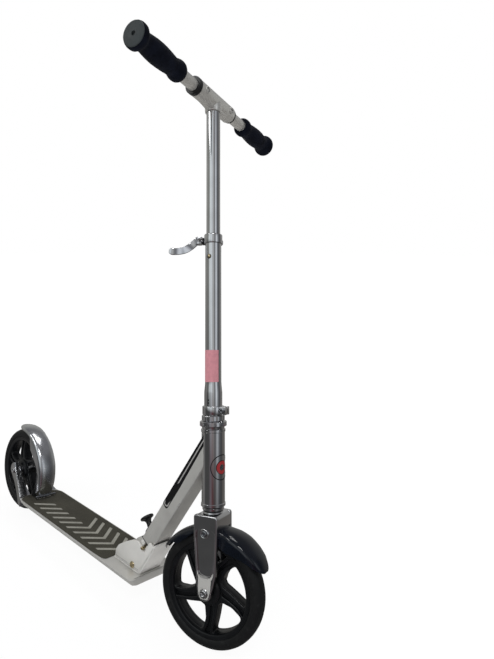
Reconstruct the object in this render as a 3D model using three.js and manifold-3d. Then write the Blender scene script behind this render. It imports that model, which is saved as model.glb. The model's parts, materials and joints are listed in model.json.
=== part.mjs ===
// Folding kick scooter with large wheels, standing on its stand with the bars turned a little to the left.
// Millimetres, +X forward, +Y to the rider's left, +Z up. The origin is on the ground under the middle of
// the scooter's box. Side views are drawn as (x, z); the steered parts are drawn around the steering axis,
// with x forward, y to the left and z up along the axis, starting level with the front axle.
import * as THREE from 'three';
import { mergeVertices } from 'three/addons/utils/BufferGeometryUtils.js';
import Module from 'manifold-3d';

const wasm = await Module();
wasm.setup();

// ---------------------------------------------------------------- driving dimensions
const GAP = 0.3;

const WHEEL = { radius: 100, halfWidth: 15, coreRadius: 81.7, windowRadius: 69, hubRadius: 20, spokes: 5 };
const BEARING = { radius: 11, bore: 4, width: 7 };
const WHEELBASE = 660;
const REAR_AXLE_X = -329.2;
const AXLE_HEIGHT = WHEEL.radius;

const DECK = { top: 58, bottom: 41, halfWidth: 53.5, rear: 66, notch: 97, front: 509 };
const SHEET = { halfWidth: 50.6, thickness: 0.5, rear: 68, front: 417 };

const HEAD = { tilt: 9.8, steer: 11.8, foot: 662.6, low: 140.6, high: 272.4, radius: 20.4, bore: 17 };
const AXLE_BEHIND = 2.6;
const AXLE_RAISE = 0.5;
const FORK = { halfWidth: 26.5, inner: 19, crownTop: 129.3, crownLow: 108, steererTop: 333, steerer: 14.2 };
const LOWER_TUBE = { low: 297.4, flareLow: 337, flareHigh: 353, high: 615.5, thick: 15.8, slim: 14.3 };
const UPPER_TUBE = { low: 500, high: 846.5, radius: 12.3 };
const COLLAR = { low: 599, high: 614.5, radius: 15.7 };
const BAR = { height: 858, tube: 10.5, clampRadius: 15.5, clampHalf: 58.5, gripIn: 101, gripOut: 218 };

const NECK = { angle: 61.9, halfWidth: 19.8, depth: 33.1, start: 60, wall: 2.4 };
const PIVOT = { x: 476, z: 66 };
const CHEEK = { inner: 22, outer: 28, arc: 44.4, pin: 48 };
const FOLDED = 83;

const FENDER_PIN = { x: 101.5, z: 64 };
const KICKSTAND = { x: 382, y: 36, z: 34, footX: 372, footY: 97, footZ: 25, axisLean: 5 };

// ---------------------------------------------------------------- materials
const finish = (color, roughness, metalness) => new THREE.MeshStandardMaterial({ color, roughness, metalness });
const MATERIAL = {
  polished: finish('#d9dbdc', 0.12, 1),
  satin: finish('#b9bab6', 0.38, 0.9),
  painted: finish('#c9cac6', 0.35, 0.6),
  steel: finish('#8f9194', 0.3, 1),
  brass: finish('#b08d4c', 0.35, 1),
  sheet: finish('#45433a', 0.9, 0),
  blackPlastic: finish('#101113', 0.3, 0),
  wheelPlastic: finish('#15161a', 0.42, 0),
  tyre: finish('#1a1b1d', 0.7, 0),
  foam: finish('#0b0c10', 0.95, 0),
  cap: finish('#33383a', 0.6, 0),
};

// ---------------------------------------------------------------- solids
const radians = THREE.MathUtils.degToRad;
const bare = (geometry) => {
  geometry.deleteAttribute('normal');
  geometry.deleteAttribute('uv');
  return mergeVertices(geometry, 1e-4);
};

const solid = (geometry) => {
  const merged = bare(geometry.clone());
  const vertProperties = new Float32Array(merged.attributes.position.array);
  const triVerts = new Uint32Array(merged.index.array);
  return new wasm.Manifold(new wasm.Mesh({ numProp: 3, vertProperties, triVerts }));
};

const geometryOf = (manifold) => {
  const { vertProperties, triVerts } = manifold.getMesh();
  const geometry = new THREE.BufferGeometry();
  geometry.setAttribute('position', new THREE.BufferAttribute(vertProperties, 3));
  geometry.setIndex(new THREE.BufferAttribute(triVerts, 1));
  return geometry;
};

const cut = (body, ...tools) => geometryOf(tools.reduce((left, tool) => left.subtract(solid(tool)), solid(body)));
const join = (body, ...more) => geometryOf(more.reduce((sum, piece) => sum.add(solid(piece)), solid(body)));
const common = (body, tool) => geometryOf(solid(body).intersect(solid(tool)));

// A solid of revolution about Z from (radius, height) pairs.
const turned = (profile, segments = 24) =>
  new THREE.LatheGeometry(profile.map(([r, h]) => new THREE.Vector2(r, h)), segments).rotateX(Math.PI / 2);

// A hollow or full cylinder about Z between two heights.
const ring = (outer, inner, low, high, segments = 24) => {
  const profile = [[inner, low], [outer, low], [outer, high], [inner, high]];
  if (inner > 0) profile.push([inner, low]);
  return turned(profile, segments);
};

const rod = (radius, low, high, segments = 24) => ring(radius, 0, low, high, segments);
const acrossY = (geometry) => geometry.rotateX(-Math.PI / 2);
const at = (geometry, x, y, z) => geometry.translate(x, y, z);

const shapeOf = (points) => new THREE.Shape(points.map(([x, y]) => new THREE.Vector2(x, y)));

// A flat outline drawn as (x, z) and given a width from one y to another.
const slab = (points, yLow, yHigh) =>
  new THREE.ExtrudeGeometry(shapeOf(points), { depth: yHigh - yLow, bevelEnabled: false })
    .rotateX(Math.PI / 2)
    .translate(0, yHigh, 0);

// A flat outline drawn as (x, y) and given a height from one z to another.
const layer = (points, low, high) =>
  new THREE.ExtrudeGeometry(shapeOf(points), { depth: high - low, bevelEnabled: false }).translate(0, 0, low);

const box = (xLow, xHigh, yLow, yHigh, zLow, zHigh) =>
  new THREE.BoxGeometry(xHigh - xLow, yHigh - yLow, zHigh - zLow)
    .translate((xLow + xHigh) / 2, (yLow + yHigh) / 2, (zLow + zHigh) / 2);

const arc = (cx, cz, radius, from, to, steps) =>
  Array.from({ length: steps + 1 }, (_, k) => {
    const angle = radians(from + ((to - from) * k) / steps);
    return [cx + radius * Math.cos(angle), cz + radius * Math.sin(angle)];
  });

const mirrored = (points) => [...points, ...points.map(([x, y]) => [x, -y]).reverse()];

// A round wire of the given radius along a curve.
const wire = (points, radius, steps, sides = 6) => {
  const section = new THREE.Shape(arc(0, 0, radius, 0, 360 - 360 / sides, sides - 1)
    .map(([x, y]) => new THREE.Vector2(x, y)));
  const path = new THREE.CatmullRomCurve3(points.map(([x, y, z]) => new THREE.Vector3(x, y, z)));
  return new THREE.ExtrudeGeometry(section, { steps, extrudePath: path, bevelEnabled: false });
};

const coil = (radius, wireRadius, length, turns) => {
  const points = Array.from({ length: turns * 8 + 1 }, (_, k) => {
    const angle = (k * Math.PI) / 4;
    return [radius * Math.cos(angle), radius * Math.sin(angle), (length * k) / (turns * 8)];
  });
  return wire(points, wireRadius, turns * 8);
};

// A hexagonal or round head on a shaft, about Z, the head below the shaft.
const bolt = (headRadius, headHeight, shaft, length, sides = 24) =>
  join(rod(headRadius, 0, headHeight, sides), rod(shaft, headHeight - 1, headHeight + length, 20));

// ---------------------------------------------------------------- scene graph
const scooter = new THREE.Group();
scooter.position.x = REAR_AXLE_X;

const add = (parent, name, geometry, material) => {
  const mesh = new THREE.Mesh(geometry, material);
  mesh.name = name;
  parent.add(mesh);
  return mesh;
};

// ---------------------------------------------------------------- wheels
const tyreGeometry = () => {
  const { radius, halfWidth, coreRadius } = WHEEL;
  const shoulder = [[radius - 10, halfWidth], [radius - 4, 12.6], [radius, 5]];
  const inner = coreRadius + GAP;
  const lower = shoulder.map(([r, y]) => [r, -y]);
  const upper = [...shoulder].reverse();
  return acrossY(turned([[inner, -halfWidth], ...lower, ...upper, [inner, halfWidth], [inner, -halfWidth]], 40));
};

// The window between two neighbouring spokes, with rounded corners.
const windowOutline = (middle) => {
  const { windowRadius, hubRadius } = WHEEL;
  const outer = arc(0, 0, windowRadius, middle - 22, middle + 22, 4);
  const corner = (angle) => [
    (windowRadius - 6) * Math.cos(radians(angle)),
    (windowRadius - 6) * Math.sin(radians(angle)),
  ];
  const inner = arc(0, 0, hubRadius + 6, middle + 15, middle - 15, 2);
  return [corner(middle - 26.5), ...outer, corner(middle + 26.5), ...inner];
};

const coreGeometry = () => {
  const { coreRadius, hubRadius, halfWidth, spokes } = WHEEL;
  const disc = acrossY(ring(coreRadius, BEARING.radius + GAP, -12, 12, 40));
  const hub = acrossY(ring(hubRadius, BEARING.radius + GAP, -halfWidth, halfWidth, 32));
  const windows = Array.from({ length: spokes }, (_, k) => slab(windowOutline(36 + (360 / spokes) * k), -20, 20));
  return cut(join(disc, hub), ...windows);
};

const addWheel = (parent, place, turn) => {
  const wheel = new THREE.Group();
  wheel.rotation.y = -radians(turn);
  parent.add(wheel);
  add(wheel, `${place}_tyre`, tyreGeometry(), MATERIAL.tyre);
  add(wheel, `${place}_wheel_core`, coreGeometry(), MATERIAL.wheelPlastic);
  const { radius, bore, width } = BEARING;
  const outer = WHEEL.halfWidth;
  for (const [side, low] of [['right', -outer], ['left', outer - width]]) {
    add(wheel, `${place}_bearing_${side}`, acrossY(ring(radius, bore + GAP, low, low + width, 24)), MATERIAL.steel);
  }
  return wheel;
};

// A wheel's axle bolt with its head on the right, and the nut on the left.
const addAxle = (parent, place, face) => {
  const { bore } = BEARING;
  const shaft = acrossY(rod(bore, -face - 2, face + 3, 20));
  const head = acrossY(turned([[0, -4.5], [5.5, -4.5], [7.5, -3], [7.5, 0], [0, 0]], 24));
  add(parent, `${place}_axle_bolt`, join(shaft, at(head, 0, -face - GAP, 0)), MATERIAL.polished);
  const nut = turned([[bore + GAP, GAP], [7.5, GAP], [7.5, 3.5], [5.5, 5], [0, 5], [0, 3.6], [bore + GAP, 3.6],
    [bore + GAP, GAP]], 24);
  add(parent, `${place}_axle_nut`, at(acrossY(nut), 0, face, 0), MATERIAL.polished);
};

// ---------------------------------------------------------------- deck
const addDeck = () => {
  const { top, bottom, halfWidth, rear, notch, front } = DECK;
  const half = [[38, bottom], [48.5, 48], [halfWidth - 1, 54], [halfWidth, 55.6], [halfWidth, 57.2], [52.7, top]];
  const section = mirrored(half.map(([y, z]) => [z, y])).map(([z, y]) => [y, z]);
  const plank = new THREE.ExtrudeGeometry(shapeOf(section), { depth: front - rear, bevelEnabled: false })
    .applyMatrix4(new THREE.Matrix4().makeBasis(
      new THREE.Vector3(0, 1, 0), new THREE.Vector3(0, 0, 1), new THREE.Vector3(1, 0, 0)))
    .translate(rear, 0, 0);
  const plan = mirrored([[notch, 19.6], [rear, 19.6], [rear, 34], [77, 52], [84, halfWidth + 1],
    [front - 3, halfWidth + 1], [front, 50], [front, 19.6]]);
  const channels = [-26, 0, 26].map((y) => box(rear - 1, front - 18, y - 11.5, y + 11.5, 44, 54.5));
  const ear = (y) => slab([[94, 57], [109, 57], [107, 67], [103, 70], [99, 70], [96, 67]], y - 1.5, y + 1.5);
  const body = cut(common(plank, layer(plan, bottom - 1, top + 1)), ...channels);
  const pinHole = acrossY(rod(2.5 + GAP, -40, 40, 16)).translate(FENDER_PIN.x, 0, FENDER_PIN.z);
  add(scooter, 'deck', cut(join(body, ear(-22.5), ear(22.5)), pinHole), MATERIAL.satin);

  const sheet = mirrored([[112, 24.6], [SHEET.rear, 24.6], [SHEET.rear, 33], [78, 50], [84, SHEET.halfWidth],
    [404, SHEET.halfWidth], [414, 47.6], [SHEET.front, 42.6]]);
  add(scooter, 'grip_sheet', layer(sheet, top + 0.05, top + 0.05 + SHEET.thickness), MATERIAL.sheet);
};

// The two cast arms that hold the rear axle, and the axle itself.
const addRearArms = () => {
  const outline = [[65.5, 58], [48, 70], [30, 82], [12, 122], ...arc(0, 104, 17.5, 110, 190, 5),
    [-2, 78], [20, 58], [42, 41], [65.5, 36]];
  const tongue = [[60, 38], [60, 40.6], [128, 40.6], [128, 36]];
  const sides = { right: -1, left: 1 };
  for (const [side, sign] of Object.entries(sides)) {
    const span = (a, b) => (sign > 0 ? [a, b] : [-b, -a]);
    const arm = slab(outline, ...span(19.8, 52));
    const taper = layer([[-60, sign * 33], [26, sign * 33], [70, sign * 52], [70, sign * 70], [-60, sign * 70]],
      20, 140);
    const boss = acrossY(rod(9, ...span(15.6, 21))).translate(0, 0, AXLE_HEIGHT);
    const bore = acrossY(rod(BEARING.bore + GAP, -60, 60, 20)).translate(0, 0, AXLE_HEIGHT);
    const body = join(cut(arm, taper), boss, slab(tongue, ...span(24, 39)));
    add(scooter, `rear_arm_${side}`, cut(body, bore), MATERIAL.polished);
  }
  const axle = new THREE.Group();
  axle.position.set(0, 0, AXLE_HEIGHT);
  scooter.add(axle);
  addAxle(axle, 'rear', 33);
  addWheel(axle, 'rear', 0);
};

// The closed section of a mudguard from the outer and inner half sections, each listed from the skirt's edge
// to the crown.
const archProfile = (outer, inner) => {
  const below = ([r, y]) => [r, -y];
  return [...outer.map(below), ...outer.slice(0, -1).reverse(), ...inner, ...inner.slice(0, -1).reverse().map(below),
    below(outer[0])];
};

// The sprung rear mudguard, pressed down on the tyre to brake.
const addRearFender = () => {
  const section = [[80, 17.4], [96, 17.2], [101, 14.5], [104.6, 8], [104.8, 0]];
  const outer = [[80, 19.6], [96.5, 19.4], [102.6, 16], [106.8, 8.6], [107, 0]];
  const profile = archProfile(outer, section);
  const shell = acrossY(turned(profile, 36));
  const side = [[-51, 97], [-43, 88], [-8, 99.5], [30, 95], [42, 80], [46, 64], [62, 49], [80, 30], [90, 14],
    [93, -10], [94, -37], [112, -37], [118, 20], [90, 90], [30, 118], [-30, 120], [-60, 110]];
  const arch = common(shell, slab(side, -25, 25)).translate(0, 0, AXLE_HEIGHT);
  const knuckle = acrossY(rod(5, -17, 17, 20)).translate(FENDER_PIN.x, 0, FENDER_PIN.z);
  const bore = acrossY(rod(2.5 + GAP, -40, 40, 16)).translate(FENDER_PIN.x, 0, FENDER_PIN.z);
  const window = box(90, 115, -7, 7, 50, FENDER_PIN.z + 5.6);
  add(scooter, 'rear_fender', cut(join(arch, knuckle), bore, window), MATERIAL.polished);
  add(scooter, 'fender_pin', acrossY(rod(2.5, -25, 25, 16)).translate(FENDER_PIN.x, 0, FENDER_PIN.z),
    MATERIAL.steel);
  add(scooter, 'fender_spring', acrossY(coil(3.5, 0.6, 12, 4)).translate(FENDER_PIN.x, -6, FENDER_PIN.z),
    MATERIAL.steel);
};

// The side stand under the deck, swung out to the left.
const addKickstand = () => {
  const { x, y, z, footX, footY, footZ, axisLean } = KICKSTAND;
  const bracket = join(box(x - 34, x + 18, 12, 40, 37.2, 40.6), rod(10, 0, 5).translate(x, y, 35.6));
  const tilt = (geometry) => geometry.rotateX(-radians(axisLean)).translate(x, y, z);
  const bore = tilt(rod(3.3, -20, 20, 20));
  const clearance = tilt(rod(13, -16, -0.2));
  add(scooter, 'kickstand_bracket', cut(bracket, bore, clearance), MATERIAL.steel);
  add(scooter, 'kickstand_bolt', tilt(join(rod(6, -13, -9.6), rod(3, -10, 6))), MATERIAL.steel);
  const hub = cut(tilt(rod(9, -9.3, -0.5)), bore);
  const leg = wire([[x - 2, y + 7, z - 8], [x - 6, y + 26, z - 8.4], [footX + 1, footY - 22, footZ + 2],
    [footX, footY - 1, footZ]], 4.2, 10, 10);
  add(scooter, 'kickstand_leg', cut(join(hub, leg), bore), MATERIAL.steel);
  const foot = turned([[0, -6], [4, -5.2], [6, -2.5], [6, 4], [4.6, 9], [0, 9]], 16)
    .rotateX(Math.PI / 2).rotateX(-radians(4)).translate(footX, footY, footZ);
  const socket = wire([[x - 6, y + 26, z - 8.4], [footX + 1, footY - 22, footZ + 2], [footX, footY, footZ]],
    4.2 + GAP, 10, 10);
  add(scooter, 'kickstand_foot', cut(foot, socket), MATERIAL.blackPlastic);
};

// ---------------------------------------------------------------- folding joint
const neckDirection = [Math.cos(radians(NECK.angle)), Math.sin(radians(NECK.angle))];
// A point in the side view from its distance along the down tube and its offset to the front of it.
const onNeck = (along, ahead) => [
  PIVOT.x + neckDirection[0] * along + neckDirection[1] * ahead,
  PIVOT.z + neckDirection[1] * along - neckDirection[0] * ahead,
];
const neckSlab = (corners, yLow, yHigh) => slab(corners.map(([along, ahead]) => onNeck(along, ahead)), yLow, yHigh);
const afterFold = (along, ahead) => {
  const angle = radians(NECK.angle + FOLDED);
  return [PIVOT.x + Math.cos(angle) * along + Math.sin(angle) * ahead,
    PIVOT.z + Math.sin(angle) * along - Math.cos(angle) * ahead];
};

const addHingeBracket = () => {
  const { inner, outer, arc: arcRadius } = CHEEK;
  const stop = 3.4;
  const outline = [[421.5, DECK.top + GAP], [423.5, 77.7], [426.5, 84], afterFold(52, -stop),
    ...arc(PIVOT.x, PIVOT.z, arcRadius, NECK.angle + FOLDED + 4.5, NECK.angle - 4.5, 14),
    onNeck(67, stop), [526, 127], [535, 126], [515, 94], [501, DECK.top + GAP]];
  const cavity = [[400, 50], [488, 50], [492, 62], [505, 80], [511, 94], [531, 126], [536, 140], [400, 140]];
  const bore = acrossY(rod(4 + GAP, -60, 60)).translate(PIVOT.x, 0, PIVOT.z);
  const body = cut(slab(outline, -outer, outer), slab(cavity, -inner, inner), bore);
  add(scooter, 'hinge_bracket', body, MATERIAL.painted);
  const pivot = join(rod(4, -outer - 2, outer + 2), rod(6, -outer - 3, -outer - GAP), rod(6, outer + GAP, outer + 3));
  add(scooter, 'fold_pivot_bolt', acrossY(pivot).translate(PIVOT.x, 0, PIVOT.z), MATERIAL.brass);
};

const knobBase = onNeck(67.4, -NECK.depth / 2);
const KNOB_ANGLE = 135;
const alongKnob = (geometry) => geometry.rotateY(radians(90 - KNOB_ANGLE)).translate(knobBase[0], 0, knobBase[1]);

const addNeck = () => {
  const { halfWidth, depth, start, wall } = NECK;
  const back = -depth / 2;
  const front = depth / 2;
  const { low, high, radius, bore } = HEAD;
  const tilted = (geometry) => geometry.rotateY(-radians(HEAD.tilt)).translate(HEAD.foot, 0, AXLE_HEIGHT);

  const foot = neckSlab([[3, -6.8], [22, -13.5], [57, -13.5], [57, 12], [30, 12], [3, 6.8]], -20.5, 20.5);
  const eye = acrossY(rod(7.2, -20.5, 20.5)).translate(PIVOT.x, 0, PIVOT.z);
  const footBore = acrossY(rod(4 + GAP, -60, 60)).translate(PIVOT.x, 0, PIVOT.z);
  const pinSlot = neckSlab([[44.4, -3.4], [60, -3.4], [60, 3.4], [44.4, 3.4]], -30, 30);
  add(scooter, 'hinge_foot', cut(join(foot, eye), footBore, pinSlot), MATERIAL.painted);

  const plate = neckSlab([[57.4, back - 1], [59, back - 1], [59, front + 1], [57.4, front + 1]], -19.5, 19.5);
  const apron = neckSlab([[57.4, front + 0.4], [76, front + 0.4], [76, front + 1.8], [57.4, front + 1.8]], -19.5, 19.5);
  const housing = neckSlab([[57.4, back - 0.4], [57.4, back - 4], [62, back - 7], [74, back - 7],
    [80, back - 0.4]], -9, 9);
  const plungerHole = alongKnob(rod(4.2, -20, 20, 20));
  add(scooter, 'foot_cover', cut(join(plate, apron, housing), plungerHole), MATERIAL.blackPlastic);

  const outside = neckSlab([[start, back], [330, back], [330, front], [start, front]], -halfWidth, halfWidth);
  const inside = neckSlab([[start - 5, back + wall], [340, back + wall], [340, front - wall],
    [start - 5, front - wall]], wall - halfWidth, halfWidth - wall);
  const beyond = tilted(join(rod(radius + GAP, -50, 400, 36), box(0, 200, -60, 60, -50, 400)));
  add(scooter, 'down_tube', cut(outside, inside, beyond, plungerHole), MATERIAL.satin);

  const lip = 1.1;
  const profile = [[bore, low], [radius + lip, low], [radius + lip, low + 5], [radius, low + 7],
    [radius, high - 7], [radius + lip, high - 5], [radius + lip, high], [bore, high], [bore, low]];
  add(scooter, 'head_tube', tilted(turned(profile, 36)), MATERIAL.polished);
  const shaft = FORK.steerer + GAP;
  const lowerCup = [[shaft, 131.6], [16.6, 131.6], [19.6, 135], [19.6, low - GAP], [shaft, low - GAP], [shaft, 131.6]];
  add(scooter, 'headset_cup_lower', tilted(turned(lowerCup)), MATERIAL.polished);
  const upperCup = [[shaft, high + GAP], [19.6, high + GAP], [20.5, 277], [23.6, 278.5], [23.6, 284], [21.5, 286],
    [shaft, 286], [shaft, high + GAP]];
  add(scooter, 'headset_cup_upper', tilted(turned(upperCup, 28)), MATERIAL.polished);
};

const addFoldLock = () => {
  const knob = turned([[0, -10.4], [5, -10.4], [5, -8.8], [3.5, -8.8], [3.5, 8], [6, 11], [5.5, 20], [7.5, 24.6],
    [13, 25.6], [13.2, 29], [11, 31.4], [0, 31.8]], 28);
  add(scooter, 'lock_knob', alongKnob(knob), MATERIAL.blackPlastic);
  const [x, z] = onNeck(CHEEK.pin, 0);
  add(scooter, 'lock_pin', acrossY(rod(3, -27.5, 27.5, 20)).translate(x, 0, z), MATERIAL.brass);
};

// ---------------------------------------------------------------- steered parts
const headFrame = new THREE.Group();
headFrame.position.set(HEAD.foot, 0, AXLE_HEIGHT);
headFrame.rotation.y = -radians(HEAD.tilt);
scooter.add(headFrame);
const column = new THREE.Group();
column.rotation.z = radians(HEAD.steer);
headFrame.add(column);

const addFork = () => {
  const { halfWidth, inner, crownTop, crownLow, steererTop, steerer } = FORK;
  const leg = [[-23.2, crownTop - 5], [-20, crownTop], [20, crownTop], [22.8, crownTop - 4], [22.8, 60],
    [20.2, 30], [14.2, 6], ...arc(-AXLE_BEHIND, AXLE_RAISE, 13.4, 20, -200, 10), [-16.6, 12], [-19.4, 34], [-23.2, 66]];
  const opening = slab([[-60, -40], [60, -40], [60, crownLow - 4], [40, crownLow], [-40, crownLow],
    [-60, crownLow - 4]], -inner, inner);
  const shaft = rod(steerer, crownTop - 4, steererTop, 32);
  const shaftBore = rod(12.7, crownTop - 8, steererTop + 1, 32);
  const bosses = [[-20, -15.6], [15.6, 20]].map(([a, b]) => acrossY(rod(9, a, b)).translate(-AXLE_BEHIND, 0, AXLE_RAISE));
  const axleBore = acrossY(rod(BEARING.bore + GAP, -60, 60, 20)).translate(-AXLE_BEHIND, 0, AXLE_RAISE);
  const fenderBores = acrossY(rod(3 + GAP, -60, 60, 20)).translate(-2, 0, 99);
  const body = join(cut(slab(leg, -halfWidth, halfWidth), opening), shaft, ...bosses);
  add(column, 'fork', cut(body, shaftBore, axleBore, fenderBores), MATERIAL.polished);
};

const addFrontFender = () => {
  const centre = [0, -7.6];
  const outer = [[86, 17.6], [98, 17.6], [106, 16], [113, 9], [115, 0]];
  const inner = [[86, 16], [98, 16], [105, 14.2], [111.3, 8], [113.2, 0]];
  const profile = archProfile(outer, inner);
  const shell = acrossY(turned(profile, 36)).translate(centre[0], 0, centre[1]);
  const side = [[107, 54], [96, 55], [86, 58], [76, 62], [57, 68], [36, 73], [12, 86], [-14, 88], [-34, 96],
    [-60, 82], [-84, 58], [-96, 40], [-120, 50], [-100, 110], [0, 140], [90, 120], [125, 54]];
  const arch = common(shell, slab(side, -30, 30));
  const lug = [-1, 1].map((sign) => acrossY(rod(7, ...(sign > 0 ? [15.9, 18.6] : [-18.6, -15.9])))
    .translate(-2, 0, 99));
  const bores = acrossY(rod(3 + GAP, -60, 60, 20)).translate(-2, 0, 99);
  add(column, 'front_fender', cut(join(arch, ...lug), bores), MATERIAL.blackPlastic);
  for (const [side_, sign] of [['right', -1], ['left', 1]]) {
    const screw = bolt(7, 3.4, 3, 11.5).translate(0, 0, -30.2);
    add(column, `fender_bolt_${side_}`, acrossY(sign < 0 ? screw : screw.rotateX(Math.PI)).translate(-2, 0, 99),
      MATERIAL.polished);
  }
};

const addLowerColumn = () => {
  const { low, flareLow, flareHigh, high, thick, slim } = LOWER_TUBE;
  const wide = FORK.steerer + GAP;
  const narrow = UPPER_TUBE.radius + GAP;
  const profile = [[wide, low], [thick, low], [thick, flareLow], [slim, flareHigh], [slim, high], [narrow, high],
    [narrow, 336.5], [wide, 334], [wide, low]];
  const buttonHole = at(rod(3.6, 0, 30, 20).rotateX(Math.PI / 2), 0, 0, 574.3);
  add(column, 'lower_tube', cut(turned(profile, 32), buttonHole), MATERIAL.polished);

  const nutBore = rod(FORK.steerer + GAP, 280, 300, 32);
  add(column, 'headset_locknut', cut(rod(19.8, 286.3, LOWER_TUBE.low - GAP, 12), nutBore), MATERIAL.steel);

  const band = ring(19, thick + GAP, 297.6, 311.8, 40);
  const ears = box(17, 28.3, -7, 7, 297.6, 311.8);
  const slot = box(14, 40, -1, 1, 290, 320);
  const screwHole = acrossY(rod(2.6, -20, 20, 16)).translate(22.6, 0, 304.7);
  const clampBore = rod(thick + GAP, 290, 320, 40);
  add(column, 'lower_clamp', cut(join(band, ears), slot, screwHole, clampBore), MATERIAL.steel);
  add(column, 'lower_clamp_bolt', acrossY(bolt(4.4, 3.5, 2.3, 14.4).translate(0, 0, -10.8))
    .translate(22.6, 0, 304.7), MATERIAL.steel);
};

// The quick-release band at the top of the lower tube. Its ears stand behind and to the left of the tube.
const EAR_ANGLE = 135;
const SKEWER_OUT = 20.5;
const PIVOT_OUT = 21;
const addHeightCollar = () => {
  const { low, high, radius } = COLLAR;
  const middle = (low + high) / 2;
  const release = new THREE.Group();
  release.rotation.z = radians(EAR_ANGLE);
  column.add(release);
  const band = ring(radius + 1.6, LOWER_TUBE.slim + GAP, low, high, 40);
  const ears = box(13, 26.5, -9, 9, low, high);
  const slot = box(10, 40, -1, 1, low - 5, high + 5);
  const hole = acrossY(rod(2.8, -30, 30, 16)).translate(SKEWER_OUT, 0, middle);
  const bore = rod(LOWER_TUBE.slim + GAP, low - 5, high + 5, 40);
  add(release, 'height_collar', cut(join(band, ears), slot, hole, bore), MATERIAL.polished);
  const skewer = join(rod(2.5, -20, PIVOT_OUT + 1.8, 16), rod(5.5, -22.6, -9.3, 12));
  add(release, 'collar_bolt', acrossY(skewer).translate(SKEWER_OUT, 0, middle), MATERIAL.steel);
  add(release, 'collar_washer', acrossY(ring(5.6, 2.8, 9.3, 14.7, 20)).translate(SKEWER_OUT, 0, middle),
    MATERIAL.blackPlastic);

  const barrel = rod(6, middle - 6.5, middle + 6.5, 24).translate(SKEWER_OUT, PIVOT_OUT, 0);
  const droop = [[24, 0], [36, -3], [50, -9], [64, -15], [78, -19]];
  const spine = new THREE.CatmullRomCurve3(droop.map(([y, z]) => new THREE.Vector3(SKEWER_OUT, y, middle + z)));
  const section = shapeOf([[-1.5, -6.5], [1.5, -6.5], [1.5, 6.5], [-1.5, 6.5]]);
  const blade = new THREE.ExtrudeGeometry(section, { steps: 8, bevelEnabled: false, extrudePath: spine });
  const sweptSlot = box(SKEWER_OUT - 7, SKEWER_OUT + 3.4, PIVOT_OUT - 7, PIVOT_OUT + 3.4, middle - 3, middle + 3);
  add(release, 'collar_lever', cut(join(barrel, blade), sweptSlot), MATERIAL.polished);
};

// ---------------------------------------------------------------- upper column and handlebar
const addUpperColumn = () => {
  const { low, high, radius } = UPPER_TUBE;
  const wall = 1.6;
  const buttonHole = at(rod(3.3, 0, 30, 20).rotateX(Math.PI / 2), 0, 0, 574.3);
  add(column, 'upper_tube', cut(ring(radius, radius - wall, low, high, 32), buttonHole), MATERIAL.polished);
  const plug = radius - wall - GAP;
  add(column, 'guide_bush', turned([[8, low - 4], [radius, low - 4], [radius, low - GAP], [plug, low - GAP],
    [plug, low + 30], [8, low + 30], [8, low - 4]], 24), MATERIAL.blackPlastic);
  const button = at(turned([[0, 12.8], [2.9, 12.8], [2.9, 14.4], [1.8, 15.4], [0, 15.6]], 16)
    .rotateX(Math.PI / 2), 0, 0, 574.3);
  add(column, 'snap_button', button, MATERIAL.brass);
};

const addHandlebar = () => {
  const { height, tube, clampRadius, clampHalf, gripIn, gripOut } = BAR;
  const bar = new THREE.Group();
  bar.position.z = height;
  column.add(bar);
  add(bar, 'handlebar_tube', acrossY(ring(tube, tube - 2, 3 - gripOut, gripOut - 3, 28)), MATERIAL.satin);

  const barrel = acrossY(turned([[0, -clampHalf], [clampRadius, -clampHalf], [clampRadius, clampHalf - 5],
    [13.6, clampHalf], [0, clampHalf]], 28));
  const socket = turned([[0, -31], [14.2, -31], [15, -12], [15, 0], [0, 0]], 28);
  const gusset = [-1, 1].map((sign) => slab([[-10, -22], [10, -22], [10, 0], [-10, 0]], sign > 0 ? 0 : -30,
    sign > 0 ? 30 : 0));
  const bores = [acrossY(rod(tube + GAP, -80, 80, 28)), rod(UPPER_TUBE.radius + GAP, -60, -6, 32)];
  const screwHoles = [-41.5, 41.5].map((y) => rod(4.4, 0, 30, 20).rotateY(Math.PI / 2).translate(0, y, 0));
  add(bar, 't_clamp', cut(join(barrel, socket, ...gusset), ...bores, ...screwHoles), MATERIAL.satin);
  for (const [side, y] of [['right', -41.5], ['left', 41.5]]) {
    add(bar, `t_clamp_bolt_${side}`, rod(4, tube + 2 * GAP, 15.2, 20).rotateY(Math.PI / 2).translate(0, y, 0),
      MATERIAL.steel);
  }
  add(bar, 'clamp_ring_right', acrossY(ring(clampRadius + 0.6, tube + GAP, -clampHalf - 10, -clampHalf - GAP, 32)),
    MATERIAL.blackPlastic);
  add(bar, 'clamp_ring_left', acrossY(ring(13.4, tube + GAP, clampHalf + GAP, clampHalf + 2.5, 32)),
    MATERIAL.blackPlastic);

  const grip = [[tube + GAP, gripIn], [14.5, gripIn], [17.2, gripIn + 4], [17.7, gripIn + 10], [15, gripIn + 21],
    [16.8, gripIn + 40], [17.8, gripIn + 60], [17, gripIn + 80], [15.4, gripIn + 95], [20.8, gripIn + 105],
    [21.3, gripOut - 4], [19.7, gripOut], [tube + GAP, gripOut], [tube + GAP, gripIn]];
  const capProfile = [[0, gripOut - 12], [tube - 2 - GAP, gripOut - 12], [tube - 2 - GAP, gripOut + GAP],
    [19.4, gripOut + GAP], [18.6, gripOut + 2], [3, gripOut + 2.2], [3, gripOut - 1], [0, gripOut - 1]];
  for (const [side, turn] of [['right', Math.PI], ['left', 0]]) {
    add(bar, `grip_${side}`, acrossY(turned(grip, 20)).rotateZ(turn), MATERIAL.foam);
    add(bar, `end_cap_${side}`, acrossY(turned(capProfile, 20)).rotateZ(turn), MATERIAL.cap);
  }
};

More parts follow.
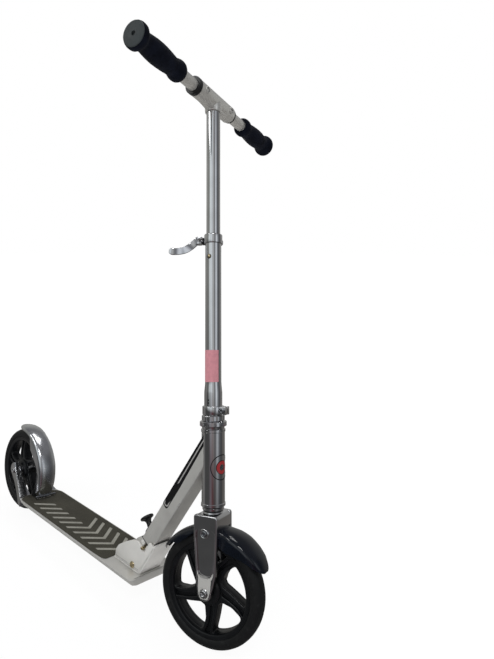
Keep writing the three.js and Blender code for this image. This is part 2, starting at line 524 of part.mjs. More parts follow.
// ---------------------------------------------------------------- assembly
addDeck();
addRearArms();
addRearFender();
addKickstand();
addHingeBracket();
addNeck();
addFoldLock();
addFork();
addFrontFender();
addLowerColumn();
addHeightCollar();
addUpperColumn();
addHandlebar();

const frontAxle = new THREE.Group();
frontAxle.position.set(-AXLE_BEHIND, 0, AXLE_RAISE);
column.add(frontAxle);
addAxle(frontAxle, 'front', FORK.halfWidth);
addWheel(frontAxle, 'front', HEAD.tilt);

export default scooter;
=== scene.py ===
"""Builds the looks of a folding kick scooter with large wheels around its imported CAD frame."""

import json
import math

import bmesh
import bpy
from bpy.props import FloatProperty, FloatVectorProperty, IntProperty
from mathutils import Matrix, Vector


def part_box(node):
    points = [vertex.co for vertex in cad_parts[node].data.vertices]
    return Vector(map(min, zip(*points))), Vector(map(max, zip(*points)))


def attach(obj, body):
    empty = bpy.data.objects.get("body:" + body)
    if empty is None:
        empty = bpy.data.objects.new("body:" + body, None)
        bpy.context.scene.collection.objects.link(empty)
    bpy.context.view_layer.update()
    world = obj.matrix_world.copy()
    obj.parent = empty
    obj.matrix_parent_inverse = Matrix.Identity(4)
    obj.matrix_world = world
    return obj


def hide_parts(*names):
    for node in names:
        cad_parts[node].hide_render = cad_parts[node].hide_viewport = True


bl_info = {
    "name": "Folding Kick Scooter",
    "version": (1, 0, 0),
    "blender": (4, 5, 0),
    "location": "View3D > Sidebar > Scooter",
    "description": "Builds a folding kick scooter and its studio around a packed frame",
    "category": "Object",
}

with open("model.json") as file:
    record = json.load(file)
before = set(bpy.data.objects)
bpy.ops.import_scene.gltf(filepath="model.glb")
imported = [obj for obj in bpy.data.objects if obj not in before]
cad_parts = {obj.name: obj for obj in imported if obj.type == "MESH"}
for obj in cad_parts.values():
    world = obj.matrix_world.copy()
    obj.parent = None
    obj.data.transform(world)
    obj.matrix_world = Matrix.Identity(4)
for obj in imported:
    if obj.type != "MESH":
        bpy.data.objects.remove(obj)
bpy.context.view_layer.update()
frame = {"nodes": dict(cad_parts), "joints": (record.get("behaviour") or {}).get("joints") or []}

MM = 0.001
JOINTS = {joint["name"]: joint for joint in frame["joints"]}


# ------------------------------------------------------------------ places
def axis_frame(origin, forward, left, up):
    """A matrix from millimetres along the three given directions to metres in the frame's axes."""
    columns = [Vector(v).normalized() * MM for v in (forward, left, up)]
    matrix = Matrix.Identity(4)
    for index, column in enumerate(columns):
        for row in range(3):
            matrix[row][index] = column[row]
    matrix.translation = Vector(origin)
    return matrix


def middle_of(node):
    low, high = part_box(node)
    return (Vector(low) + Vector(high)) / 2


def move(x=0.0, y=0.0, z=0.0):
    return Matrix.Translation((x, y, z))


def turn(degrees, axis):
    return Matrix.Rotation(math.radians(degrees), 4, axis)


REAR_AXLE = middle_of("rear_tyre")
# Fixed parts are drawn in millimetres from the ground under the rear axle.
FIXED = axis_frame((REAR_AXLE.x, 0, 0), (1, 0, 0), (0, 1, 0), (0, 0, 1))
# Steered parts are drawn from the foot of the steering axis, with z along that axis.
STEER_UP = Vector(JOINTS["steer"]["axis"])
STEER_LEFT = Vector(JOINTS["front_spin"]["axis"])
STEERED = axis_frame(JOINTS["steer"]["pos_m"], STEER_LEFT.cross(STEER_UP), STEER_LEFT, STEER_UP)
# The head tube and the frame side of the headset are drawn along the same axis, but not steered.
HEAD = axis_frame(JOINTS["steer"]["pos_m"], Vector((0, 1, 0)).cross(STEER_UP), (0, 1, 0), STEER_UP)
FRONT_AXLE = STEERED.inverted() @ Vector(JOINTS["front_spin"]["pos_m"])
BAR_HEIGHT = (STEERED.inverted() @ Vector(JOINTS["height"]["pos_m"])).z
FOLD_PIVOT = FIXED.inverted() @ Vector(JOINTS["fold"]["pos_m"])

# Heights up the steering axis, and places on the bar and the fork, in millimetres.
BUTTON_HEIGHT = 574.3
STEERER_TOP = 333
TUBE_FOOT = 297.6
TUBE_TOP = 615.4
BAR_SCREW = 41.5
GUARD_BOLT = move(-2, 0, 99)

# Side views are drawn as (x, z) and given a width along y.
SIDEWAYS = turn(90, "X")
# Turned parts that lie across the scooter are drawn along z, which becomes y.
ACROSS = turn(-90, "X")


# ------------------------------------------------------------------ sizes and colours
class ScooterWheelSizes(bpy.types.PropertyGroup):
    """Sizes of the two wheels, in millimetres"""

    radius: FloatProperty(name="Radius", description="Outer radius of the tyre", default=100.0, min=60.0)
    tyre_inner: FloatProperty(name="Tyre Seat", description="Radius where the tyre meets the core",
        default=81.0)
    window_outer: FloatProperty(name="Window Radius", description="Outer radius of the openings",
        default=71.5)
    hub: FloatProperty(name="Hub Radius", description="Radius of the raised hub", default=21.0)
    spokes: IntProperty(name="Spokes", description="Number of spokes", default=5, min=3)
    swirl: FloatProperty(name="Swirl", description="Degrees that a spoke turns from rim to hub", default=15.0)


class ScooterDeckSizes(bpy.types.PropertyGroup):
    """Sizes of the deck, in millimetres"""

    top: FloatProperty(name="Top", description="Height of the deck's top", default=58.0)
    half_width: FloatProperty(name="Half Width", description="Half the width of the deck", default=53.5)
    front: FloatProperty(name="Front", description="Front edge ahead of the rear axle", default=509.0)
    sheet_half_width: FloatProperty(name="Sheet Half Width", description="Half the width of the sheet",
        default=50.6)
    chevrons: IntProperty(name="Chevrons", description="Number of printed bars on the sheet", default=10)
    chevron_pitch: FloatProperty(name="Chevron Pitch", description="Distance between bars", default=28.4)


class ScooterColumnSizes(bpy.types.PropertyGroup):
    """Sizes of the steering column and the bar, in millimetres"""

    head_radius: FloatProperty(name="Head Radius", description="Radius of the head tube", default=20.4)
    lower_radius: FloatProperty(name="Lower Radius", description="Radius of the foot of the lower tube",
        default=15.9)
    slim_radius: FloatProperty(name="Slim Radius", description="Radius of the lower tube above its flare",
        default=14.3)
    upper_radius: FloatProperty(name="Upper Radius", description="Radius of the sliding tube", default=12.4)
    bar_radius: FloatProperty(name="Bar Radius", description="Radius of the bar", default=10.5)
    clamp_radius: FloatProperty(name="Clamp Radius", description="Radius of the bar's centre casting",
        default=15.3)
    grip_inner: FloatProperty(name="Grip Start", description="Inner end of a grip", default=105.0)
    grip_outer: FloatProperty(name="Grip End", description="Outer end of a grip", default=217.0)


def colour(name, description, value):
    return FloatVectorProperty(
        name=name, description=description, subtype="COLOR", size=3, min=0, max=1, default=value
    )


class ScooterColours(bpy.types.PropertyGroup):
    """Colours of the scooter's finishes, linear"""

    chrome: colour("Chrome", "Mirror-bright steel", (0.60, 0.60, 0.61))
    polished: colour("Polished", "Polished cast aluminium", (0.58, 0.59, 0.61))
    satin: colour("Satin", "Satin aluminium of the deck and the tubes", (0.66, 0.65, 0.62))
    cast: colour("Cast", "Cast fold bracket", (0.80, 0.785, 0.75))
    steel: colour("Steel", "Zinc-plated fittings", (0.32, 0.33, 0.35))
    brass: colour("Brass", "Pins and the snap button", (0.50, 0.41, 0.25))
    sheet: colour("Grip Sheet", "Gritty sheet on the deck", (0.058, 0.054, 0.040))
    chevron: colour("Chevrons", "Printed bars on the grip sheet", (0.42, 0.41, 0.355))
    rubber: colour("Tyres", "Rubber of the tyres", (0.007, 0.0075, 0.008))
    core: colour("Wheel Cores", "Moulded plastic of the wheels", (0.0045, 0.005, 0.006))
    gloss_black: colour("Gloss Black", "Front mudguard", (0.002, 0.0035, 0.007))
    foam: colour("Grips", "Soft foam of the grips", (0.0022, 0.003, 0.0065))
    label: colour("Label", "Plain sticker on the lower tube", (0.66, 0.27, 0.31))
    floor: colour("Floor", "Studio floor", (0.90, 0.90, 0.90))


# ------------------------------------------------------------------ finishes
class Signal:
    """A shader socket that can be used in sums, so that an expression builds its Math nodes."""

    def __init__(self, sheet, socket):
        self.sheet = sheet
        self.socket = socket

    def _math(self, operation, *values):
        return self.sheet.node("ShaderNodeMath", {"operation": operation}, dict(enumerate(values)))

    def __add__(self, other):
        return self._math("ADD", self, other)

    __radd__ = __add__

    def __sub__(self, other):
        return self._math("SUBTRACT", self, other)

    def __rsub__(self, other):
        return self._math("SUBTRACT", other, self)

    def __mul__(self, other):
        return self._math("MULTIPLY", self, other)

    __rmul__ = __mul__

    def fitted(self, low, high, new_low=0.0, new_high=1.0):
        """The value taken from one range to another and held inside it."""
        sockets = {"Value": self, "From Min": low, "From Max": high, "To Min": new_low, "To Max": new_high}
        return self.sheet.node("ShaderNodeMapRange", {"clamp": True}, sockets, "Result")


class Sheet:
    """A node tree that is filled one node at a time."""

    def __init__(self, owner):
        owner.use_nodes = True
        self.tree = owner.node_tree
        self.tree.nodes.clear()

    def feed(self, socket, value):
        if isinstance(value, Signal):
            self.tree.links.new(value.socket, socket)
        else:
            socket.default_value = value

    def node(self, kind, settings, sockets, output=0):
        """One node: its settings first, then the values or links of its sockets."""
        made = self.tree.nodes.new(kind)
        for key, value in settings.items():
            if key == "stops":
                ramp = made.color_ramp.elements
                while len(ramp) < len(value):
                    ramp.new(0.5)
                for element, (position, shade) in zip(ramp, value):
                    element.position = position
                    element.color = (*shade, 1.0)
            else:
                setattr(made, key, value)
        for key, value in sockets.items():
            self.feed(made.inputs[key], value)
        return Signal(self, made.outputs[output])

    def mixed(self, amount, first, second):
        """One colour turning into another by the amount."""
        made = self.tree.nodes.new("ShaderNodeMix")
        made.data_type = "RGBA"
        self.feed(made.inputs["Factor"], amount)
        for socket, value in zip([s for s in made.inputs if s.type == "RGBA"], (first, second)):
            self.feed(socket, value if isinstance(value, Signal) else (*value, 1.0))
        return Signal(self, [s for s in made.outputs if s.type == "RGBA"][0])


class Finish(Sheet):
    """A material with one Principled shader."""

    def __init__(self, name, base, roughness, metallic=0.0, **constants):
        self.material = bpy.data.materials.new(name)
        super().__init__(self.material)
        self.shader = self.tree.nodes.new("ShaderNodeBsdfPrincipled")
        output = self.tree.nodes.new("ShaderNodeOutputMaterial")
        self.tree.links.new(self.shader.outputs["BSDF"], output.inputs["Surface"])
        self.set("Base Color", (*base, 1.0))
        self.set("Roughness", roughness)
        self.set("Metallic", metallic)
        for socket, value in constants.items():
            self.set(socket.replace("_", " "), value)
        self.place = self.node("ShaderNodeTexCoord", {}, {}, "Object")

    def set(self, socket, value):
        self.feed(self.shader.inputs[socket], value)

    def stretched(self, scale, rotation=(0.0, 0.0, 0.0)):
        """The place on the object, turned and stretched by a scale along each axis."""
        turned = self.node("ShaderNodeMapping", {"vector_type": "POINT"},
            {"Vector": self.place, "Rotation": rotation})
        return self.node("ShaderNodeMapping", {"vector_type": "POINT"}, {"Vector": turned, "Scale": scale})

    def noise(self, scale, detail=4.0, roughness=0.55, place=None):
        sockets = {"Vector": place or self.place, "Scale": scale, "Detail": detail, "Roughness": roughness}
        return self.node("ShaderNodeTexNoise", {}, sockets, "Fac")

    def cells(self, scale):
        sockets = {"Vector": self.place, "Scale": scale}
        return self.node("ShaderNodeTexVoronoi", {"feature": "F1"}, sockets, "Distance")

    def bumped(self, height, distance):
        """Small relief in metres from a height of 0 to 1."""
        normal = self.node("ShaderNodeBump", {}, {"Height": height, "Distance": distance, "Strength": 1.0})
        self.set("Normal", normal)


def shaded(base, factor):
    return tuple(min(1.0, channel * factor) for channel in base)


def metal_finish(
    name, base, roughness, grain, relief=0.0, along=(1.0, 1.0, 1.0), lean=(0.0, 0.0, 0.0), tarnish=0.9,
        bare=1.0
):
    """Bare, plated or satin-coated metal with a faint uneven polish and fine marks along one direction."""
    made = Finish(name, base, roughness, bare)
    lines = made.noise(grain, 3.0, 0.6, made.stretched(along, lean))
    clouds = made.noise(34.0, 3.0, 0.5)
    made.set("Roughness", (lines * 0.5 + clouds * 0.5).fitted(0.3, 0.72, roughness * 0.72, roughness * 1.35))
    made.set("Base Color", made.mixed(clouds.fitted(0.35, 0.7), base, shaded(base, tarnish)))
    if relief:
        made.bumped(lines, relief)
    return made.material


def plastic_finish(name, base, roughness, grain, relief, coat=0.0, haze=1.5, shine=0.4):
    """Moulded plastic with a fine grain and a slight cloudiness."""
    made = Finish(name, base, roughness, 0.0, Coat_Weight=coat, Coat_Roughness=0.06, Specular_IOR_Level=shine)
    fine = made.noise(grain, 2.0, 0.5)
    clouds = made.noise(28.0, 4.0, 0.6)
    made.set("Roughness", (fine * 0.35 + clouds * 0.65).fitted(0.3, 0.7, roughness * 0.8, roughness * 1.25))
    made.set("Base Color", made.mixed(clouds.fitted(0.4, 0.75), base, shaded(base, haze)))
    made.bumped(fine, relief)
    return made.material


def tyre_finish(base):
    """Matte rubber with fine moulding texture and dusty scuffs on the tread."""
    made = Finish("tyre_rubber", base, 0.62, 0.0, Specular_IOR_Level=0.25)
    fine = made.noise(1400.0, 2.0)
    scuffs = made.noise(90.0, 5.0, 0.7).fitted(0.52, 0.8)
    made.set("Base Color", made.mixed(scuffs * 0.5, base, (0.028, 0.028, 0.028)))
    made.set("Roughness", scuffs * 0.2 + 0.52)
    made.bumped(fine + scuffs, 0.00006)
    return made.material


def foam_finish(base):
    """Soft closed-cell foam: tiny pits and a velvety edge."""
    made = Finish("foam", base, 0.9, 0.0, Sheen_Weight=0.03, Sheen_Roughness=0.4, Specular_IOR_Level=0.1)
    pits = made.cells(900.0)
    clouds = made.noise(60.0, 4.0)
    made.set("Base Color", made.mixed(clouds.fitted(0.35, 0.75), base, shaded(base, 2.2)))
    made.set("Roughness", pits.fitted(0.0, 0.8, 0.82, 0.98))
    made.bumped(pits + clouds * 0.6, 0.00022)
    return made.material


def sheet_finish(name, base, fleck):
    """Gritty sheet: dense grains with pale flecks."""
    made = Finish(name, base, 0.85, 0.0, Specular_IOR_Level=0.35)
    grains = made.cells(1500.0)
    sparse = made.noise(2200.0, 2.0).fitted(0.60, 0.72)
    wear = made.noise(16.0, 5.0, 0.6).fitted(0.35, 0.75)
    ground = made.mixed(wear, shaded(base, 0.82), shaded(base, 1.22))
    made.set("Base Color", made.mixed(sparse * 0.55, ground, fleck))
    made.set("Roughness", grains.fitted(0.0, 0.8, 0.7, 0.95))
    made.bumped(grains, 0.0003)
    return made.material


def print_finish(name, base, under):
    """Thin print over the gritty sheet, worn through in places."""
    made = Finish(name, base, 0.75, 0.0)
    worn = made.noise(1900.0, 4.0, 0.7).fitted(0.50, 0.62)
    patches = made.noise(45.0, 3.0).fitted(0.45, 0.8)
    made.set("Base Color", made.mixed(worn * 0.55 + patches * 0.25, base, under))
    made.set("Roughness", worn * 0.15 + 0.7)
    made.bumped(made.cells(1500.0), 0.0002)
    return made.material


def sticker_finish(name, base, shine=0.5):
    """Smooth vinyl with a slight mottling."""
    made = Finish(name, base, 0.42, 0.0, Specular_IOR_Level=shine)
    mottle = made.noise(160.0, 3.0)
    made.set("Base Color", made.mixed(mottle.fitted(0.4, 0.7), base, shaded(base, 0.86)))
    made.set("Roughness", mottle.fitted(0.3, 0.7, 0.36, 0.5))
    made.bumped(mottle, 0.00002)
    return made.material


def all_finishes(colours):
    """Every finish of the scooter by the name used when a piece is made."""
    c = {key: tuple(getattr(colours, key)) for key in ScooterColours.__annotations__}
    along_x = (0.02, 1.0, 1.0)
    neck_lean = (0.0, math.radians(61.9), 0.0)
    return {
        "chrome": metal_finish("bright_chrome", c["chrome"], 0.07, 900.0),
        "polished": metal_finish("polished_casting", c["polished"], 0.21, 420.0, 0.00001, tarnish=0.8),
        "deck": metal_finish("satin_extrusion", c["satin"], 0.36, 1600.0, 0.00003, along_x, bare=0.45),
        "tube": metal_finish("satin_tube", c["satin"], 0.34, 1500.0, 0.00002, along_x, neck_lean, bare=0.5),
        "bar": metal_finish("satin_bar", c["satin"], 0.27, 2400.0, 0.000004, tarnish=0.97, bare=0.7),
        "cast": metal_finish("cast_bracket", c["cast"], 0.42, 520.0, 0.00007, bare=0.15),
        # A paler, duller copy of the cast finish, used on the fork's feet as a painted reflection of the
        # bright room.
        "bright": metal_finish("bright_casting", c["cast"], 0.20, 700.0, 0.000006, tarnish=0.94, bare=0.45),
        "steel": metal_finish("plated_steel", c["steel"], 0.28, 700.0, 0.00002, tarnish=0.7),
        "brass": metal_finish("brass", c["brass"], 0.25, 700.0, 0.00001),
        "sheet": sheet_finish("grip_sheet", c["sheet"], (0.24, 0.23, 0.19)),
        "chevron": print_finish("printed_bars", c["chevron"], c["sheet"]),
        "rubber": tyre_finish(c["rubber"]),
        "core": plastic_finish("wheel_plastic", c["core"], 0.30, 700.0, 0.00003, shine=0.3),
        "black": plastic_finish("black_plastic", c["core"], 0.36, 800.0, 0.00005),
        "gloss_black": plastic_finish("gloss_mudguard", c["gloss_black"], 0.10, 300.0, 0.000004, 0.2,
            shine=0.35),
        "cap": plastic_finish("end_cap", (0.028, 0.034, 0.036), 0.6, 900.0, 0.00008, shine=0.3),
        "foam": foam_finish(c["foam"]),
        "label": sticker_finish("pink_label", c["label"]),
        "decal": sticker_finish("black_decal", (0.005, 0.005, 0.006), 0.25),
        "decal_line": sticker_finish("grey_line", (0.38, 0.37, 0.36), 0.3),
        "red": sticker_finish("red_enamel", (0.38, 0.012, 0.015)),
    }


# ------------------------------------------------------------------ shapes
def arc(cx, cy, radius, start, end, steps):
    return [
        (cx + radius * math.cos(math.radians(a)), cy + radius * math.sin(math.radians(a)))
        for a in (start + (end - start) * k / steps for k in range(steps + 1))
    ]


def rounded(points, radius, steps=5):
    """The closed outline with each corner rounded as far as its sides allow."""
    count = len(points)
    radii = radius if isinstance(radius, (list, tuple)) else [radius] * count
    outline = []
    for index in range(count):
        before, corner, after = (Vector(points[(index + k) % count]) for k in (-1, 0, 1))
        to_before, to_after = before - corner, after - corner
        opening = to_before.angle(to_after)
        if radii[index] <= 0 or abs(opening - math.pi) < 0.02:
            outline.append(tuple(corner))
            continue
        reach = min(radii[index] / math.tan(opening / 2), to_before.length * 0.49, to_after.length * 0.49)
        start = corner + to_before.normalized() * reach
        end = corner + to_after.normalized() * reach
        for k in range(steps + 1):
            t = k / steps
            outline.append(tuple(start.lerp(corner, t).lerp(corner.lerp(end, t), t)))
    return outline


def mirrored(points):
    return list(points) + [(x, -y) for x, y in reversed(points)]


def area_of(points):
    return sum(a[0] * b[1] - b[0] * a[1] for a, b in zip(points, points[1:] + points[:1])) / 2


def inset(points, distance):
    """A closed outline moved inwards by a distance, its points kept."""
    if area_of(points) < 0:
        distance = -distance
    moved = []
    count = len(points)
    for index in range(count):
        before, here, after = (Vector(points[(index + k) % count]) for k in (-1, 0, 1))
        a, b = (here - before).normalized(), (after - here).normalized()
        normal = Vector((-a.y - b.y, a.x + b.x))
        if normal.length < 1e-6:
            normal = Vector((-a.y, a.x))
        normal.normalize()
        lean = max(0.35, normal.dot(Vector((-a.y, a.x))))
        moved.append(tuple(here + normal * (distance / lean)))
    return moved


def smooth_path(points, steps):
    """A Catmull-Rom curve through the points."""
    points = [Vector(p) for p in points]
    path = []
    for index in range(len(points) - 1):
        p0, p1 = points[max(index - 1, 0)], points[index]
        p2, p3 = points[index + 1], points[min(index + 2, len(points) - 1)]
        for k in range(steps):
            t = k / steps
            path.append(
                0.5 * (2 * p1 + (p2 - p0) * t + (2 * p0 - 5 * p1 + 4 * p2 - p3) * t**2 + (3 * p1 - p0 - 3 * p2 + p3) * t**3)
            )
    return path + [points[-1]]


def between(stops, value):
    """Straight interpolation in a list of (place, value) stops."""
    if value <= stops[0][0]:
        return stops[0][1]
    for (a, va), (b, vb) in zip(stops, stops[1:]):
        if value <= b:
            return va + (vb - va) * (value - a) / (b - a)
    return stops[-1][1]


class Shape:
    """One piece of the scooter, gathered from turned, flat, swept and lofted parts in millimetres."""

    def __init__(self, place=FIXED):
        self.mesh = bmesh.new()
        self.place = place

    def _point(self, local, point):
        return self.mesh.verts.new(self.place @ (local @ Vector(point)))

    def grid(self, rows, local=Matrix.Identity(4), closed=True, caps=True):
        """Joins rows of points into a skin, and closes its two ends."""
        made = [[self._point(local, point) for point in row] for row in rows]
        count = len(rows[0])
        for low, high in zip(made, made[1:]):
            for index in range(count if closed else count - 1):
                after = (index + 1) % count
                self.mesh.faces.new((low[index], low[after], high[after], high[index]))
        if caps and closed:
            self.mesh.faces.new(list(reversed(made[0])))
            self.mesh.faces.new(made[-1])
        return made

    def turned(self, profile, local=Matrix.Identity(4), segments=64, radius_at=None):
        """A solid of revolution about z from (radius, height) pairs. It is closed if its ends meet."""
        loop = list(profile)
        hollow = loop[0] == loop[-1]
        if hollow:
            loop.pop()
        columns = []
        for k in range(segments):
            angle = 2 * math.pi * k / segments
            column = []
            for r, h in loop:
                if r < 1e-6:
                    column.append(None)
                    continue
                reach = r if radius_at is None else radius_at(r, h, angle)
                column.append(self._point(local, (reach * math.cos(angle), reach * math.sin(angle), h)))
            columns.append(column)
        poles = [self._point(local, (0, 0, h)) if r < 1e-6 else None for r, h in loop]
        pairs = list(zip(range(len(loop)), range(1, len(loop))))
        if hollow:
            pairs.append((len(loop) - 1, 0))
        for k in range(segments):
            one, two = columns[k], columns[(k + 1) % segments]
            for a, b in pairs:
                corners = []
                for column, index in ((one, a), (two, a), (two, b), (one, b)):
                    corner = poles[index] or column[index]
                    if corner not in corners:
                        corners.append(corner)
                if len(corners) > 2:
                    self.mesh.faces.new(corners)
        return self

    def plate(self, loops, low, high, edge=0.6, local=Matrix.Identity(4), steps=3, reshape=None):
        """A flat part between two heights from closed outlines, holes included, with rounded edges."""
        curve = bpy.data.curves.new("outline", "CURVE")
        curve.dimensions = "2D"
        curve.fill_mode = "BOTH"
        edge = min(edge, (high - low) * 0.49)
        curve.extrude = (high - low) / 2 - edge
        curve.bevel_depth = edge
        curve.bevel_resolution = steps - 1
        curve.offset = -edge
        for loop in loops:
            spline = curve.splines.new("POLY")
            spline.points.add(len(loop) - 1)
            for point, (x, y) in zip(spline.points, loop):
                point.co = (x, y, 0, 1)
            spline.use_cyclic_u = True
        holder = bpy.data.objects.new("outline", curve)
        bpy.context.scene.collection.objects.link(holder)
        bpy.context.view_layer.update()
        flat = bpy.data.meshes.new_from_object(holder.evaluated_get(bpy.context.evaluated_depsgraph_get()))
        bpy.data.objects.remove(holder)
        bpy.data.curves.remove(curve)
        flat.transform(move(z=(low + high) / 2))
        if reshape:
            for vertex in flat.vertices:
                vertex.co = reshape(vertex.co)
        flat.transform(self.place @ local)
        self.mesh.from_mesh(flat)
        bpy.data.meshes.remove(flat)
        return self

    def swept(self, path, outline, local=Matrix.Identity(4), up=(0, 0, 1), shrink=None):
        """An outline carried along a path, given as (sideways, up) points."""
        path = [Vector(p) for p in path]
        rows = []
        for index, here in enumerate(path):
            ahead = (path[min(index + 1, len(path) - 1)] - path[max(index - 1, 0)]).normalized()
            side = ahead.cross(Vector(up)).normalized()
            rise = side.cross(ahead)
            size = shrink(index / (len(path) - 1)) if shrink else 1.0
            rows.append([here + side * a * size + rise * b * size for a, b in outline])
        self.grid(rows, local)
        return self

    def shell(self, rows, thick, local=Matrix.Identity(4)):
        """An open skin of points given a thickness inwards, as closed sheet metal."""
        columns = len(rows[0])
        count = len(rows)
        points = [[Vector(p) for p in row] for row in rows]
        inner = []
        for i in range(count):
            inner.append([])
            for j in range(columns):
                along = points[min(i + 1, count - 1)][j] - points[max(i - 1, 0)][j]
                across = points[i][min(j + 1, columns - 1)] - points[i][max(j - 1, 0)]
                normal = along.cross(across).normalized()
                inner[i].append(points[i][j] + normal * thick)
        loops = [points[i] + list(reversed(inner[i])) for i in range(count)]
        self.grid(loops, local)
        return self

    def bored(self, tool):
        """Cuts another shape out of this one."""
        made = []
        for shape in (self, tool):
            bmesh.ops.recalc_face_normals(shape.mesh, faces=shape.mesh.faces)
            mesh = bpy.data.meshes.new("solid")
            shape.mesh.to_mesh(mesh)
            solid = bpy.data.objects.new("solid", mesh)
            bpy.context.scene.collection.objects.link(solid)
            made.append(solid)
        step = made[0].modifiers.new("bore", "BOOLEAN")
        step.operation = "DIFFERENCE"
        step.solver = "EXACT"
        step.object = made[1]
        bpy.context.view_layer.update()
        cut = bpy.data.meshes.new_from_object(made[0].evaluated_get(bpy.context.evaluated_depsgraph_get()))
        self.mesh.clear()
        self.mesh.from_mesh(cut)
        tool.mesh.free()
        for solid in made:
            bpy.data.meshes.remove(solid.data)
        bpy.data.meshes.remove(cut)
        return self

    def done(self, name, finish, body, nodes=(), angle=32.0):
        """Makes the object, gives it its finish and fixes it to a body of the frame."""
        bmesh.ops.remove_doubles(self.mesh, verts=self.mesh.verts, dist=1e-6)
        bmesh.ops.dissolve_degenerate(self.mesh, edges=self.mesh.edges, dist=1e-7)
        bmesh.ops.recalc_face_normals(self.mesh, faces=self.mesh.faces)
        mesh = bpy.data.meshes.new(name)
        self.mesh.to_mesh(mesh)
        self.mesh.free()
        mesh.materials.append(FINISHES[finish])
        mesh.shade_smooth()
        made = bpy.data.objects.new(name, mesh)
        bpy.context.scene.collection.objects.link(made)
        mesh.set_sharp_from_angle(angle=math.radians(angle))
        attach(made, body)
        if nodes:
            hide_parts(*nodes)
        return made


FINISHES = {}


def circle(radius, cx=0.0, cy=0.0, steps=32):
    return arc(cx, cy, radius, 0, 360 - 360 / steps, steps - 1)


def socket_head(shape, local, radius, height, key):
    """A domed screw head rising along z with a hexagonal socket."""
    shape.plate([circle(radius, steps=40), circle(key, steps=6)], 0, height, min(1.2, height * 0.4), local)
    shape.plate([circle(key + 0.3, steps=24)], 0, height * 0.35, 0.1, local)


def finish_node(node, finish):
    """Gives a kept CAD node its finish."""
    node_mesh = frame["nodes"][node].data
    node_mesh.materials.clear()
    node_mesh.materials.append(FINISHES[finish])


# ------------------------------------------------------------------ wheels
def polar(radius, degrees):
    return (radius * math.cos(math.radians(degrees)), radius * math.sin(math.radians(degrees)))


def swirled(points, sizes):
    """Turns points further round the axle the nearer they are to it, which curves the spokes."""
    moved = []
    for x, y in points:
        radius = math.hypot(x, y)
        share = max(0.0, (sizes.window_outer - radius) / (sizes.window_outer - sizes.hub))
        moved.append(polar(radius, math.degrees(math.atan2(y, x)) + sizes.swirl * share))
    return moved


def window_outline(sizes, middle):
    """The opening between two spokes, pointed at the hub and wide at the rim."""
    near, far = sizes.hub + 8.0, sizes.window_outer
    rim = arc(0, 0, far, middle - 17, middle + 17, 8)
    first = [polar(near, middle - 9), polar(near + 20, middle - 24.5), polar(far, middle - 28)]
    second = [polar(far, middle + 28), polar(near + 20, middle + 24.5), polar(near, middle + 9)]
    radii = [5, 30, 8] + [0] * len(rim) + [8, 30, 5]
    return swirled(rounded(first + rim + second, radii, 9), sizes)


def channel_outline(sizes, degrees):
    """The long groove pressed into a spoke, wider towards the rim."""
    start, end = sizes.hub + 5.0, sizes.window_outer + 0.5
    steps = [start + (end - start) * k / 10 for k in range(11)]
    half = [(start, 2.4), (end - 12, 3.1), (end, 5.0)]
    bar = [(x, -between(half, x)) for x in steps] + [(x, between(half, x)) for x in reversed(steps)]
    corners = [2.4] + [0] * 9 + [4.6, 4.6] + [0] * 9 + [2.4]
    turned = turn(degrees, "Z")
    outline = [tuple((turned @ Vector((x, y, 0))).xy) for x, y in rounded(bar, corners)]
    return swirled(outline, sizes)


def build_wheel(place, name, body, first_spoke, sizes):
    """Tyre, spoked core and hub of one wheel, about an axle along y."""
    across, flat = place @ ACROSS, place @ SIDEWAYS
    angles = [first_spoke + 360 / sizes.spokes * k for k in range(sizes.spokes)]
    seat, rim = sizes.tyre_inner, sizes.radius
    half = [(seat - 0.8, 12.4), (seat + 0.2, 13.6), (seat + 4, 14.7), (rim - 9.5, 15), (rim - 7, 14),
        (rim - 4, 12)]
    half += [(rim - 1.8, 9), (rim - 0.5, 5), (rim - 0.12, 1.0), (rim - 0.45, 0.6)]
    profile = half + [(r, -y) for r, y in reversed(half)]
    tyre = Shape(across)
    tyre.turned(profile + [profile[0]], segments=160)
    tyre.done(f"{name}_tyre_rubber", "rubber", body, [f"{name}_tyre"], angle=40)

    core = Shape(flat)
    windows = [window_outline(sizes, angle + 180 / sizes.spokes) for angle in angles]
    channels = [channel_outline(sizes, angle) for angle in angles]
    core.plate([circle(seat - 0.6, steps=120), circle(11.5, steps=40)] + windows, -6.5, 6.5, 1.2)
    face = [circle(seat - 0.3, steps=120), circle(sizes.hub - 1, steps=48)] + windows + channels
    for low, high in ((4.5, 10.4), (-10.4, -4.5)):
        core.plate(face, low, high, 2.2, steps=4)
    core.place = across
    for sign in (1, -1):
        hub = [(11.3, 8), (11.3, 14), (12.2, 14.8), (sizes.hub - 3.6, 14.8), (sizes.hub - 1.2, 14.0),
            (sizes.hub + 2.0, 12.6)]
        hub.append((sizes.hub + 2.0, 8))
        core.turned([(r, sign * y) for r, y in hub + hub[:1]], segments=64)
        band = [(71.6, 7), (71.6, 10.4), (72.6, 12.6), (74.4, 13.5), (seat - 1.2, 13.5), (seat - 0.5, 12.8),
            (seat - 0.5, 7)]
        core.turned([(r, sign * y) for r, y in band + band[:1]], segments=120)
    core.done(f"{name}_spoked_core", "core", body, [f"{name}_wheel_core"], angle=35)

    for side, sign in (("right", -1), ("left", 1)):
        seal = Shape(across)
        rings = [(4.4, 8), (4.4, 14.2), (6.4, 14.2), (6.8, 13.7), (9.4, 13.7), (9.8, 14.3), (11, 14.3),
            (11, 8)]
        seal.turned([(r, sign * y) for r, y in rings + rings[:1]], segments=48)
        seal.done(f"{name}_sealed_bearing_{side}", "steel", body, [f"{name}_bearing_{side}"])


